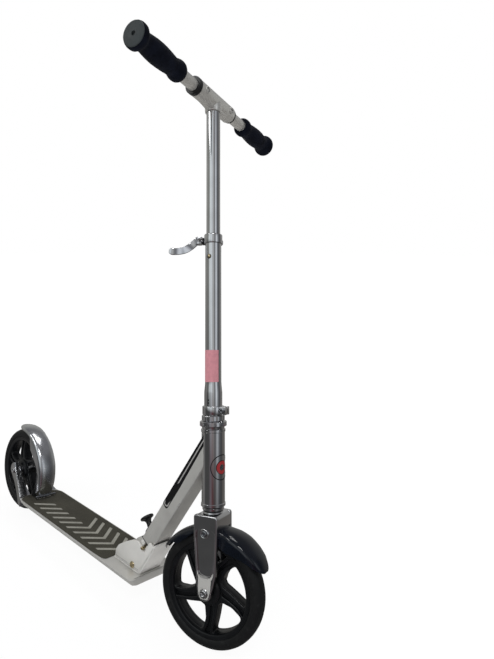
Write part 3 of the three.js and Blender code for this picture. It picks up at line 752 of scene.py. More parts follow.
def build_axle(place, name, body, face):
    """The axle bolt with its domed head on the right and its nut on the left."""
    for node, sign in ((f"{name}_axle_bolt", 1), (f"{name}_axle_nut", -1)):
        fitting = Shape(place @ SIDEWAYS @ (Matrix.Identity(4) if sign > 0 else turn(180, "X")))
        fitting.turned([(0, -2), (8.2, -2), (8.2, 0.3), (7.6, 0.9), (0, 0.9)], move(z=face), 48)
        socket_head(fitting, move(z=face + 0.9), 6.4, 3.4, 2.9)
        if sign > 0:
            fitting.turned([(0, -face * 2), (3.9, -face * 2), (3.9, -1), (0, -1)], move(z=face), 24)
        fitting.done(f"{node}_head", "chrome", body, [node])


class SCOOTER_OT_wheels(bpy.types.Operator):
    """Builds both wheels and their axles"""

    bl_idname = "scooter.wheels"
    bl_label = "Wheels"

    def execute(self, context):
        sizes = context.scene.scooter_wheels
        rear = FIXED @ move(z=sizes.radius)
        build_wheel(rear, "rear", "rear_wheel_group", 26.0, sizes)
        build_axle(rear, "rear", "deck_group", 33.0)
        front = STEERED @ Matrix.Translation(FRONT_AXLE)
        build_wheel(front, "front", "front_wheel_group", 50.6, sizes)
        build_axle(front, "front", "steering_group", 26.5)
        return {"FINISHED"}


# ------------------------------------------------------------------ deck
def deck_plan(sizes, step=0.0):
    """The deck's outline from above, drawn in by a step to follow its undercut sides."""
    half, front = sizes.half_width - step, sizes.front - 0.3 * step
    side = [(97 + 0.3 * step, 19.8), (66 + 0.3 * step, 19.8), (65.5 + 0.3 * step, 33.5 - 0.5 * step)]
    side += [(77 + 0.3 * step, 49.5 - step), (88 + 0.3 * step, half), (front - 4, half), (front, 47 - step)]
    corners = mirrored(side)
    radii = [9, 1.5, 2, 4, 14, 4, 6]
    return rounded(corners, radii + radii[::-1])


class SCOOTER_OT_deck(bpy.types.Operator):
    """Builds the deck, its grip sheet and the printed bars"""

    bl_idname = "scooter.deck"
    bl_label = "Deck"

    def execute(self, context):
        sizes = context.scene.scooter_deck
        top, half = sizes.top, sizes.half_width
        plan = deck_plan(sizes)
        levels = [(top - 1.2, 4.6), (top, 4.6), (top, 0.9), (top - 0.4, 0.25), (top - 0.9, 0.0),
            (top - 2.6, 0.0)]
        levels += [(top - 3.4, 0.5), (top - 10, 5.0), (top - 16.2, 12.0), (top - 17, 14.0),
            (top - 14.6, 15.5)]
        deck = Shape(FIXED)
        rows = [[(x, y, z) for x, y in deck_plan(sizes, step)] for z, step in levels]
        deck.grid(rows, closed=True, caps=False)
        inner = inset(plan, 4.0)
        deck.plate([inner], top - 3.4, top - 0.6, 0.2)
        for y in (-26, 0, 26):
            for edge in (-6, 6):
                deck.plate([[(112, y + edge - 1), (492, y + edge - 1), (492, y + edge + 1),
                    (112, y + edge + 1)]],
                           top - 17, top - 2, 0.3)
        deck.plate([[(108, -39), (494, -39), (494, 39), (108, 39)]], top - 17, top - 14.8, 0.4)
        deck.done("deck_extrusion", "deck", "deck_group", ["deck"], angle=28)

        reach = sizes.sheet_half_width
        outline = [(101, 18.5), (69, 20.6), (68, 33), (79, 47.4), (88, reach), (378, reach),
            (406, reach - 1.4)]
        outline += [(413.8, reach - 4), (417.4, 43)]
        radii = [9, 2, 2, 4, 8, 0, 8, 4, 3]
        sheet = Shape(FIXED)
        sheet.plate([rounded(mirrored(outline), radii + radii[::-1])], top - 0.2, top + 0.55, 0.15)
        sheet.done("gritty_sheet", "sheet", "deck_group", ["grip_sheet"])

        bars = Shape(FIXED)
        for k in range(sizes.chevrons):
            x = 118.4 + sizes.chevron_pitch * k
            width = 9.0
            arm = [(x - 29.1, -37.7), (x - 29.1 + width, -37.7), (x + width, 0)]
            if k >= sizes.chevrons // 2:
                outline = arm + [(x - 29.1 + width, 37.7), (x - 29.1, 37.7), (x, 0)]
            else:
                outline = arm + [(x, 0)]
            bars.plate([rounded([(px + 27.0, py) for px, py in outline], 1.0, 2)], top + 0.5, top + 0.68,
                0.05, steps=1)
        bars.done("printed_chevrons", "chevron", "deck_group")
        return {"FINISHED"}


class SCOOTER_OT_rear_arms(bpy.types.Operator):
    """Builds the two cast arms that carry the rear axle"""

    bl_idname = "scooter.rear_arms"
    bl_label = "Rear Arms"

    def execute(self, context):
        outline = [(78, 57.6), (68, 58.2), (46, 70.5), (25, 82.5), (4, 108), (-1, 117)]
        outline += arc(-1, 101, 18, 92, 200, 8) + [(-8, 86), (10, 70), (40, 45), (58, 37.5), (78, 36.5)]

        def tapered(point):
            outer = between([(6, 33.0), (34, 36.5), (54, 44.5), (76, 50.0), (90, 53.0)], point.x)
            share = (abs(point.z) - 19.9) / (53 - 19.9)
            point.z = math.copysign(19.9 + share * (outer - 19.9), point.z)
            return point

        for side, sign in (("right", 1), ("left", -1)):
            arm = Shape(FIXED)
            low, high = sorted((sign * 19.9, sign * 53.0))
            arm.plate([rounded(outline, 5)], low, high, 2.2, SIDEWAYS, 5, tapered)
            boss = [(4.4, 14.9), (7.4, 14.9), (9.5, 16.5), (10.5, 21), (4.4, 21), (4.4, 14.9)]
            arm.turned([(r, -sign * y) for r, y in boss], move(z=REAR_AXLE.z / MM) @ ACROSS, 40)
            arm.done(f"rear_arm_casting_{side}", "polished", "deck_group", [f"rear_arm_{side}"], angle=40)
        return {"FINISHED"}


# ------------------------------------------------------------------ mudguards
def guard_rows(centre_x, centre_z, angles, crown, skirt, width, dome=0.62):
    """Rows of points across a mudguard, from one skirt over the crown to the other."""
    rows = []
    for degrees in angles:
        top, low, half = between(crown, degrees), between(skirt, degrees), between(width, degrees)
        low = min(low, top - 0.6)
        shoulder = max(low, top - 9.5)
        right = [(low, -half), (low * 0.5 + shoulder * 0.5, -half), (shoulder, -half)]
        over = []
        for k in range(1, 16):
            lean = math.radians(-90 + 180 * k / 16)
            rise = math.cos(lean) ** dome
            over.append((shoulder + (top - shoulder) * rise, half * math.sin(lean)))
        section = right + over + [(r, -y) for r, y in reversed(right)]
        c, s = math.cos(math.radians(degrees)), math.sin(math.radians(degrees))
        rows.append([(centre_x + r * c, y, centre_z + r * s) for r, y in section])
    return rows


class SCOOTER_OT_mudguards(bpy.types.Operator):
    """Builds the rear brake mudguard and the front mudguard"""

    bl_idname = "scooter.mudguards"
    bl_label = "Mudguards"

    def execute(self, context):
        angles = [-21.6, -20.8] + [-20 + 2.0 * k for k in range(59)] + [96 + 0.8 * k for k in range(1, 13)]
        crown = [(-21.6, 105.6), (-16, 106.6), (20, 107.5), (66, 107.2), (86, 108.2), (105.6, 109.6)]
        skirt = [(-21.6, 90), (-12, 91), (9, 93), (24, 85.5), (38, 79.6), (54, 79), (62, 88), (69, 100),
            (92, 101), (100, 104), (105.6, 108)]
        width = [(-21.6, 15.4), (-14, 16.8), (-2, 18.4), (20, 19.4), (86, 19.4), (94, 18.4), (99, 16),
            (103, 12), (105.6, 6)]
        guard = Shape(FIXED)
        guard.shell(guard_rows(0, REAR_AXLE.z / MM, angles, crown, skirt, width), -1.8)
        foot = [(86, 62), (97, 60.2), (99.6, 60.4), (99.6, 66), (96.5, 76), (94, 79), (89, 79)]
        guard.plate([rounded(foot, 1.6)], -13.5, 13.5, 1.2, SIDEWAYS)
        guard.done("rear_brake_guard", "polished", "brake_group", ["rear_fender"], angle=40)

        crown = [(24, 113.4), (34, 115.6), (54, 113), (70, 109), (90, 106.5), (114, 105.5), (139, 108.5),
            (150, 110)]
        skirt = [(24, 113), (27, 109.5), (31, 106), (38, 100), (49, 90), (62, 83), (72, 82), (90, 92),
            (104, 98), (116, 92), (128, 91), (136, 101), (150, 107)]
        width = [(24, 5), (25.5, 11), (28, 16), (33, 20.5), (42, 23.5), (54, 24.5), (64, 23), (73, 18.3),
            (108, 18.3)]
        width += [(116, 19.6), (124, 19.6), (136, 17), (145, 12), (149, 6), (150, 3)]
        angles = [24, 24.5, 25.2, 26, 27] + [28 + 2 * k for k in range(60)] + [148.8, 149.6, 150]
        front = Shape(STEERED)
        front.shell(guard_rows(FRONT_AXLE.x, FRONT_AXLE.z, angles, crown, skirt, width, 0.7), -1.8)
        front.done("front_guard", "gloss_black", "steering_group", ["front_fender"], angle=40)
        return {"FINISHED"}


# ------------------------------------------------------------------ side stand
class SCOOTER_OT_side_stand(bpy.types.Operator):
    """Builds the side stand's leg and its rubber foot"""

    bl_idname = "scooter.side_stand"
    bl_label = "Side Stand"

    def execute(self, context):
        x, y, z = FIXED.inverted() @ Vector(JOINTS["stand_swing"]["pos_m"])
        foot_low, foot_high = (FIXED.inverted() @ Vector(corner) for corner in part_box("kickstand_foot"))
        foot = (foot_low + foot_high) / 2
        route = smooth_path([(x, y - 2, z - 5), (x - 2, y + 8, z - 7), (x - 6, y + 26, z - 8.4),
                             (foot.x + 1, foot.y - 20, foot.z + 2), (foot.x, foot.y + 4, foot.z)], 8)
        leg = Shape(FIXED)
        leg.swept(route, circle(4.2, steps=20))
        lean = turn(-5, "X")
        hub = [(3.3, -9.2), (8, -9.2), (9, -8.2), (9, -1.6), (8, -0.6), (3.3, -0.6), (3.3, -9.2)]
        leg.turned(hub, move(x, y, z) @ lean, 40)
        leg.done("stand_leg_rod", "steel", "stand_group", ["kickstand_leg"])
        tip = Shape(FIXED)
        profile = [(0, -7.4), (4, -7), (5.8, -5), (6, -2), (5.2, 0), (6, 2), (6, 5), (4.9, 7.4), (0, 7.6)]
        tip.turned(profile, move(foot.x, foot.y, foot.z) @ turn(90, "X"), 32)
        tip.done("stand_rubber_foot", "black", "stand_group", ["kickstand_foot"])
        for node in ("kickstand_bracket", "kickstand_bolt", "fender_pin", "fender_spring"):
            finish_node(node, "steel")
        return {"FINISHED"}


# ------------------------------------------------------------------ fold bracket and down tube
NECK_ANGLE = 61.9


def on_neck(along, ahead):
    """A side-view point by its distance up the down tube and its offset to the front."""
    c, s = math.cos(math.radians(NECK_ANGLE)), math.sin(math.radians(NECK_ANGLE))
    return (FOLD_PIVOT.x + c * along + s * ahead, FOLD_PIVOT.z + s * along - c * ahead)


NECK = FIXED @ Matrix.Translation(FOLD_PIVOT) @ turn(-NECK_ANGLE, "Y")


class SCOOTER_OT_fold_bracket(bpy.types.Operator):
    """Builds the fold bracket on the deck, its pivot and the lock pin"""

    bl_idname = "scooter.fold_bracket"
    bl_label = "Fold Bracket"

    def execute(self, context):
        base = context.scene.scooter_deck.top
        px, pz = FOLD_PIVOT.x, FOLD_PIVOT.z
        cheek = [(421.5, base), (421.8, 75), (429, 86.6), (448.4, 100.4), (470, 113.0), (485, 115.6),
            (496.5, 108.4)]
        cheek += [(501, 103.6), (506.4, 104.4), (514.6, 124.6), (518, 126), (531, 121.2), (510.5, 83),
            (496.5, base)]
        radii = [0, 5, 7, 30, 18, 8, 6, 2, 2, 1.6, 1.6, 2, 14, 0]
        bracket = Shape(FIXED)
        for low, high in ((20.9, 25.2), (-25.2, -20.9)):
            bracket.plate([rounded(cheek, radii)], low, high, 0.9, SIDEWAYS)
        wall = [(490, base), (500.5, base), (509, 76), (517.5, 92), (534, 125.4), (530.6, 126.6),
            (512, 92.6), (503.5, 76)]
        bracket.plate([rounded(wall, [0, 0, 8, 10, 1, 1, 10, 8])], -25.2, 25.2, 0.9, SIDEWAYS)
        flange = rounded(mirrored([(419, 27), (500, 27)]), 5)
        well = [(438, 20.9), (489, 20.9)]
        bracket.plate([flange, rounded(mirrored(well), 2)], base - 0.2, base + 1.6, 0.5)
        bracket.done("fold_bracket_casting", "cast", "deck_group", ["hinge_bracket"], angle=35)

        marks = Shape(FIXED)
        for k in range(24):
            x = 425 + 2.9 * k
            for z in (base + 1.8, base + 4.6):
                mark = [(x, z), (x + 1.6, z), (x + 1.6, z + 1.7), (x, z + 1.7)]
                marks.plate([mark], 25.0, 25.3, 0.1, SIDEWAYS, 1)
                marks.plate([mark], -25.3, -25.0, 0.1, SIDEWAYS, 1)
        marks.done("bracket_dots", "decal_line", "deck_group")

        pivot = Shape(FIXED @ move(px, 0, pz) @ SIDEWAYS)
        for sign in (1, -1):
            half = Matrix.Identity(4) if sign > 0 else turn(180, "X")
            cup = [(2.6, 24.6), (2.6, 26.6), (4.4, 27.2), (5.6, 26.8), (6.2, 25.9), (6.2, 24.6), (2.6, 24.6)]
            pivot.turned(cup, half, 40)
            pivot.turned([(0, 0), (2.5, 0), (2.5, 26.2), (1.8, 26.8), (0, 26.8)], half, 32)
        pivot.done("fold_pivot_pin", "brass", "deck_group", ["fold_pivot_bolt"])

        pin = Shape(NECK @ move(48.0) @ SIDEWAYS)
        rod = [(0, -27.3), (2.2, -27.3), (3, -26.5), (3, 26.5), (2.2, 27.3), (0, 27.3)]
        pin.turned(rod, segments=32)
        pin.done("cross_lock_pin", "brass", "lock_pin_group", ["lock_pin"])
        finish_node("hinge_foot", "cast")
        finish_node("foot_cover", "black")
        return {"FINISHED"}


class SCOOTER_OT_down_tube(bpy.types.Operator):
    """Builds the down tube with its decals, and the pull knob"""

    bl_idname = "scooter.down_tube"
    bl_label = "Down Tube"

    def execute(self, context):
        half, depth = 19.8, 33.1
        section = rounded([(-depth / 2, -half), (depth / 2, -half), (depth / 2, half), (-depth / 2, half)],
            3.4, 6)
        axis_point = FIXED.inverted() @ Vector(JOINTS["steer"]["pos_m"])
        up = (FIXED.inverted().to_3x3() @ STEER_UP).normalized()
        forward = Vector((0, 1, 0)).cross(up)
        to_fixed = FIXED.inverted() @ NECK
        run = (to_fixed.to_3x3() @ Vector((1, 0, 0))).normalized()
        near, far = [], []
        for ahead, y in section:
            start = to_fixed @ Vector((0, y, -ahead))
            length = (axis_point - start).dot(forward) / run.dot(forward)
            near.append((59.6, y, -ahead))
            far.append((length, y, -ahead))
        tube = Shape(NECK)
        tube.grid([near, far])
        tube.done("down_tube_profile", "tube", "neck_group", ["down_tube"], angle=50)

        band = [(150, -1.6), (210, -1.6), (262, -3.4), (318, -5.4), (334, -16.4), (153, -16.4)]
        stripe = [(214, -8.4), (316, -9.6), (318, -11.8), (208, -10.6)]
        hook = [(174, -3.6)] + arc(160.5, -9, 6.4, 55, 280, 12) + arc(160.5, -9, 3.9, 280, 60, 12)
        for name, finish, outline, radii, lift in (
            ("side_band", "decal", band, [7, 0, 0, 0, 0, 5], 0.12),
            ("side_stripe", "decal_line", stripe, [0.4, 0, 0, 1.4], 0.2),
            ("side_hook", "decal_line", hook, 0.3, 0.2),
        ):
            decal = Shape(NECK @ SIDEWAYS)
            decal.plate([rounded([(x, -ahead) for x, ahead in outline], radii)], half - 0.1, half + lift,
                0.03, steps=1)
            decal.done(name, finish, "neck_group")

        knob = Shape(FIXED @ Matrix.Translation(FIXED.inverted() @ Vector(JOINTS["knob_pull"]["pos_m"])) @ turn(-45, "Y"))
        profile = [(0, -9), (3.4, -9), (3.4, 8), (5.4, 9.5), (5.8, 12), (5, 14), (5.4, 19), (7.2, 22.4),
            (11, 24.2)]
        profile += [(12.7, 25.2), (13.2, 26.6), (13, 28.2), (12, 29.4), (11.2, 29.7), (10.6, 29.2),
            (4, 29.6), (0, 30)]
        knob.turned(profile, segments=64)
        knob.done("pull_knob", "black", "knob_group", ["lock_knob"], angle=30)
        return {"FINISHED"}


# ------------------------------------------------------------------ head tube and fork
class SCOOTER_OT_head_tube(bpy.types.Operator):
    """Builds the head tube, its badge and the headset cups"""

    bl_idname = "scooter.head_tube"
    bl_label = "Head Tube"

    def execute(self, context):
        radius = context.scene.scooter_column.head_radius
        low, high, lip = 140.6, 272.4, 0.95
        tube = Shape(HEAD)
        profile = [(radius - 4, low), (radius + lip - 0.5, low), (radius + lip, low + 0.5),
            (radius + lip, low + 4.6)]
        profile += [(radius + lip - 0.5, low + 5.2), (radius, low + 5.6), (radius, high - 5.6)]
        profile += [(radius + lip - 0.5, high - 5.2), (radius + lip, high - 4.6), (radius + lip, high - 0.5)]
        profile += [(radius + lip - 0.5, high), (radius - 4, high), (radius - 4, low)]
        tube.turned(profile, segments=96)
        tube.done("head_tube_shell", "chrome", "neck_group", ["head_tube"])

        centre = 208.0
        for name, finish, outer, inner, lift in (
            ("badge_outline", "decal", 21.8, 20.4, 0.22),
            ("badge_ring", "red", 11.0, 5.4, 0.24),
            ("badge_inner_line", "decal", 12.0, 11.2, 0.22),
            ("badge_button", "steel", 4.4, 0.0, 0.30),
        ):
            badge = Shape(HEAD)
            rows = []
            for k in range(49):
                a = 2 * math.pi * k / 48
                row = []
                for step in range(7):
                    r = inner + (outer - inner) * step / 6
                    sway = r * math.cos(a) / radius
                    out = radius + lift
                    row.append((out * math.cos(sway), out * math.sin(sway), centre + r * math.sin(a)))
                rows.append(row)
            badge.shell(rows, -0.25)
            badge.done(name, finish, "neck_group")

        # Black ring under the head tube; its thin edges left showing above and below the chrome ring are
        # painted shade for the gap between the fork crown and the head tube.
        lower = Shape(HEAD)
        lower.turned([(14.6, 131.6), (17.0, 131.6), (17.6, 132.4), (17.6, 140.3), (14.6, 140.3),
            (14.6, 131.6)], segments=64)
        lower.done("headset_seal_lower", "black", "neck_group", ["headset_cup_lower"])
        ring = Shape(HEAD)
        ring.turned([(17.7, 134.4), (18.4, 134.4), (18.9, 135), (18.9, 138.4), (18.4, 139), (17.7, 139),
            (17.7, 134.4)],
                    segments=72)
        ring.done("headset_ring_lower", "chrome", "neck_group")

        def notched(r, height, angle):
            if r > 22 and height < 282.2 and math.sin(angle * 16) > 0.35:
                return r - 1.7
            return r

        upper = Shape(HEAD)
        profile = [(14.6, 272.7), (19.4, 272.7), (20.2, 276.8), (23, 277.4), (23.6, 278.2), (23.6, 281.8),
            (23.6, 282.4)]
        profile += [(23.6, 284.8), (22.6, 285.8), (14.6, 286), (14.6, 272.7)]
        upper.turned(profile, segments=192, radius_at=notched)
        upper.done("headset_ring_upper", "chrome", "neck_group", ["headset_cup_upper"], angle=25)
        return {"FINISHED"}


class SCOOTER_OT_fork(bpy.types.Operator):
    """Builds the fork with its recessed legs and the bolts of the mudguard"""

    bl_idname = "scooter.fork"
    bl_label = "Fork"

    def execute(self, context):
        ax, az = FRONT_AXLE.x, FRONT_AXLE.z
        foot = arc(ax, az, 13.6, 8, -188, 12)
        leg = [(-23.4, 129.2), (22.5, 129.2), (22.5, 92), (20, 34), (14.6, 12)] + foot + [(-17.8, 14),
            (-18.8, 34), (-23.4, 92)]
        radii = [5, 5, 30, 20, 10] + [0] * 13 + [10, 20, 30]
        outline = rounded(leg, radii)
        panel = [(-19.2, 104), (18.3, 104), (18.3, 90), (15.9, 36), (11.4, 24), (-12.5, 24), (-15.2, 36),
            (-19.2, 90)]
        panel = rounded(panel, [16, 16, 20, 12, 9, 9, 12, 20], 8)
        fork = Shape(STEERED)
        for sign in (1, -1):
            low, high = sorted((sign * 19.2, sign * 23.1))
            fork.plate([outline], low, high, 1.9, SIDEWAYS, 5)
            low, high = sorted((sign * 20.6, sign * 26.7))
            fork.plate([outline, panel], low, high, 1.9, SIDEWAYS, 5)
            rows = []
            for k in range(21):
                height = 23.0 + 82.0 * k / 20
                wide = between([(23, 12.0), (36, 15.4), (62, 18.4), (105, 18.6)], height)
                row = [-0.5 + wide * (j / 8 - 1) for j in range(17)]
                rows.append([(x, -sign * (25.0 - 1.6 * ((x + 0.5) / wide) ** 2), height) for x in row])
            fork.shell(rows, sign * 0.8)
            ring = [(5.6, 25), (5.6, 27.2), (6.4, 27.7), (7.4, 27.7), (8.4, 27.0), (9.0, 25.6), (9.0, 25),
                (5.6, 25)]
            fork.turned([(r, -sign * y) for r, y in ring], GUARD_BOLT @ ACROSS, 48)
            boss = [(4.4, 15.4), (7.2, 15.4), (8.6, 16.6), (9.2, 20), (4.4, 20), (4.4, 15.4)]
            fork.turned([(r, -sign * y) for r, y in boss], move(ax, 0, az) @ ACROSS, 40)
        crown = [(-23.4, 104), (22.5, 104), (22.5, 124), (18.5, 129.2), (-19, 129.2), (-23.4, 124)]
        fork.plate([rounded(crown, [3, 3, 5, 5, 5, 5])], -26.4, 26.4, 4.6, SIDEWAYS, 6)
        fork.turned([(0, 126), (16.6, 126), (17.4, 129.4), (16.4, 131.4), (0, 131.4)], segments=64)
        fork.turned([(12.8, 128), (14.1, 128), (14.1, STEERER_TOP), (12.8, STEERER_TOP), (12.8, 128)],
            segments=48)
        fork.done("fork_casting", "chrome", "steering_group", ["fork"], angle=35)
        # A thin shell over the foot of each leg, paler and duller than the casting under it: a painted
        # reflection of the bright room where the feet face upwards.
        feet = Shape(STEERED)
        for sign in (1, -1):
            rows = []
            for k in range(25):
                row = []
                for j in range(33):
                    lean = j / 16 - 1
                    height = az - 12.4 + (25.5 + 11.5 * lean ** 4 - az + 12.4) * k / 24
                    wide = between([(az - 12.4, 4.5), (az - 10, 8.4), (az - 5, 11.8), (az + 3, 13.0),
                        (24, 14.4), (38, 16.4)], height)
                    out = between([(az - 12.4, 25.8), (az - 9, 26.8), (10, 27.1), (38, 26.9)], height)
                    middle = between([(az, ax), (30, -0.8)], height)
                    row.append((middle + wide * lean, -sign * (out - 0.7 * lean ** 6), height))
                rows.append(row)
            feet.shell(rows, sign * 0.7)
        feet.done("fork_feet", "bright", "steering_group", angle=45)
        for side, sign in (("right", 1), ("left", -1)):
            half = Matrix.Identity(4) if sign > 0 else turn(180, "X")
            bolt = Shape(STEERED @ GUARD_BOLT @ SIDEWAYS @ half)
            bolt.turned([(0, 15), (3, 15), (3, 26), (0, 26)], segments=24)
            socket_head(bolt, move(z=26.0), 5.4, 3.0, 2.5)
            bolt.done(f"guard_bolt_{side}", "steel", "steering_group", [f"fender_bolt_{side}"])
        return {"FINISHED"}


# ------------------------------------------------------------------ column
def clamp_outline(outer, inner, reach, half, slot):
    """A split ring with two ears along x."""
    outside = math.degrees(math.asin(half / outer))
    inside = math.degrees(math.asin(slot / inner))
    points = [(reach, slot), (reach, half)] + arc(0, 0, outer, outside, 360 - outside, 60)
    points += [(reach, -half), (reach, -slot)] + arc(0, 0, inner, 360 - inside, inside, 60)
    return points


class SCOOTER_OT_lower_column(bpy.types.Operator):
    """Builds the lower tube, its label, the lock nut and the lower clamp"""

    bl_idname = "scooter.lower_column"
    bl_label = "Lower Column"

    def execute(self, context):
        sizes = context.scene.scooter_column
        wide, slim = sizes.lower_radius, sizes.slim_radius
        tube = Shape(STEERED)
        profile = [(12.9, TUBE_FOOT), (wide, TUBE_FOOT), (wide, 334.5), (wide - 0.3, 339),
            (slim + 0.3, 349), (slim, 353)]
        profile += [(slim, 614.8), (slim - 0.4, TUBE_TOP), (12.9, TUBE_TOP), (12.9, TUBE_FOOT)]
        tube.turned(profile, segments=96)
        tube.done("lower_tube_shell", "chrome", "steering_group", ["lower_tube"])

        # Black discs flush with the tube's surface are painted shade for two small holes and for the gap
        # round the snap button.
        holes = Shape(STEERED)
        for height, radius, out in ((318.0, 1.5, wide), (322.9, 1.5, wide), (BUTTON_HEIGHT, 4.3, slim)):
            holes.plate([circle(radius, steps=28)], out - 1.4, out + 0.06, 0.05,
                move(z=height) @ turn(90, "X"))
        holes.done("tube_holes", "black", "steering_group")
        button = Shape(STEERED @ move(z=BUTTON_HEIGHT) @ turn(90, "X"))
        button.turned([(0, 12.7), (3.1, 12.7), (3.1, 14.6), (2.6, 15.2), (1.4, 15.55), (0, 15.6)],
            segments=40)
        button.done("brass_snap_button", "brass", "button_group", ["snap_button"])

        label = Shape(STEERED)
        out = slim + 0.14
        rows = []
        for k in range(41):
            a = math.radians(-152 + 132 * k / 40)
            rows.append([(out * math.cos(a), out * math.sin(a), 354 + 55.6 * j / 6) for j in range(7)])
        label.shell(rows, 0.12)
        label.done("plain_label", "label", "steering_group")

        def scalloped(r, height, angle):
            return r - 0.9 * max(0.0, math.cos(angle * 8)) ** 2 if r > 18 else r

        nut = Shape(STEERED)
        profile = [(14.6, 286.5), (19.2, 286.5), (20.2, 287.6), (20.2, 294.8), (19.4, 296), (14.6, 296.4),
            (14.6, 286.5)]
        nut.turned(profile, segments=128, radius_at=scalloped)
        nut.done("headset_nut", "chrome", "steering_group", ["headset_locknut"], angle=25)

        clamp = Shape(STEERED)
        clamp.plate([clamp_outline(19.1, wide + 0.2, 28.3, 7, 1.0)], 297.4, 311.8, 1.0)
        clamp.done("lower_clamp_ring", "chrome", "steering_group", ["lower_clamp"], angle=35)
        screw = Shape(STEERED @ move(22.4, 0, 304.7) @ SIDEWAYS)
        socket_head(screw, move(z=6.6), 4.2, 4.0, 2.2)
        screw.turned([(0, -8.4), (2.4, -8.4), (2.4, 7), (0, 7)], segments=24)
        screw.turned([(2.4, -9.4), (4.4, -9.4), (4.4, -6.8), (2.4, -6.8), (2.4, -9.4)], segments=6)
        screw.done("lower_clamp_screw", "steel", "steering_group", ["lower_clamp_bolt"])
        return {"FINISHED"}


class SCOOTER_OT_height_collar(bpy.types.Operator):
    """Builds the quick-release collar, its skewer and its lever"""

    bl_idname = "scooter.height_collar"
    bl_label = "Height Collar"

    def execute(self, context):
        slim = context.scene.scooter_column.slim_radius
        pivot = STEERED.inverted() @ Vector(JOINTS["lever_swing"]["pos_m"])
        release = STEERED @ turn(135, "Z")
        local = turn(-135, "Z") @ pivot
        middle = local.z
        collar = Shape(release)
        collar.plate([clamp_outline(slim + 1.9, slim + 0.15, 26.5, 8.4, 1.1)], middle - 8, middle + 8, 1.2)
        web = [(10, middle - 8), (26, middle - 8), (26, middle - 12), (16, middle - 15), (12.5, middle - 15)]
        for sign in (1, -1):
            low, high = sorted((sign * 1.3, sign * 6.0))
            collar.plate([rounded(web, [0, 0, 4, 3, 1])], low, high, 0.8, SIDEWAYS)
        collar.done("collar_band", "chrome", "steering_group", ["height_collar"], angle=35)

        skewer = Shape(release @ move(local.x, 0, middle) @ ACROSS)
        skewer.turned([(0, -20), (2.4, -20), (2.4, local.y + 1.6), (0, local.y + 1.6)], segments=28)
        nut = [(2.3, -22.4), (4.4, -22.4), (5.7, -20.8), (5.7, -10.4), (4.8, -8.6), (2.3, -8.6), (2.3, -22.4)]
        skewer.turned(nut, segments=40)
        skewer.done("collar_skewer", "chrome", "steering_group", ["collar_bolt"])
        washer = Shape(release @ move(local.x, 0, middle) @ ACROSS)
        washer.turned([(2.8, 8.7), (6.2, 8.7), (6.8, 9.3), (6.8, 13.6), (6.2, 14.6), (2.8, 14.6),
            (2.8, 8.7)], segments=40)
        washer.done("collar_spacer", "black", "steering_group", ["collar_washer"])

        lever = Shape(release @ move(local.x, local.y, middle))
        lever.turned([(0, -6.8), (6.2, -6.8), (7.2, -5.8), (7.2, -3), (0, -3)], segments=48)
        lever.turned([(0, 3), (7.2, 3), (7.2, 5.8), (6.2, 6.8), (0, 6.8)], segments=48)
        lever.plate([[(-5, 3.6), (5, 3.6), (5, 6.4), (-5, 6.4)]], -6, 6, 0.6)
        bends = [(0, 3.6, 0), (0.4, 8, -4), (1.6, 15.4, -10.5), (1.0, 25.4, -17), (-1.2, 36.4, -20.6),
            (-1.6, 46.4, -21.8)]
        route = smooth_path(bends + [(0.4, 55, -21.0)], 8)
        strip = rounded([(-1.4, -6.3), (1.4, -6.3), (1.4, 6.3), (-1.4, 6.3)], 1.2, 4)
        lever.swept(route, strip,
            shrink=lambda t: 1.0 if t < 0.86 else math.sqrt(1.0 - ((t - 0.86) / 0.15) ** 2))
        lever.done("release_lever", "chrome", "lever_group", ["collar_lever"], angle=40)
        return {"FINISHED"}


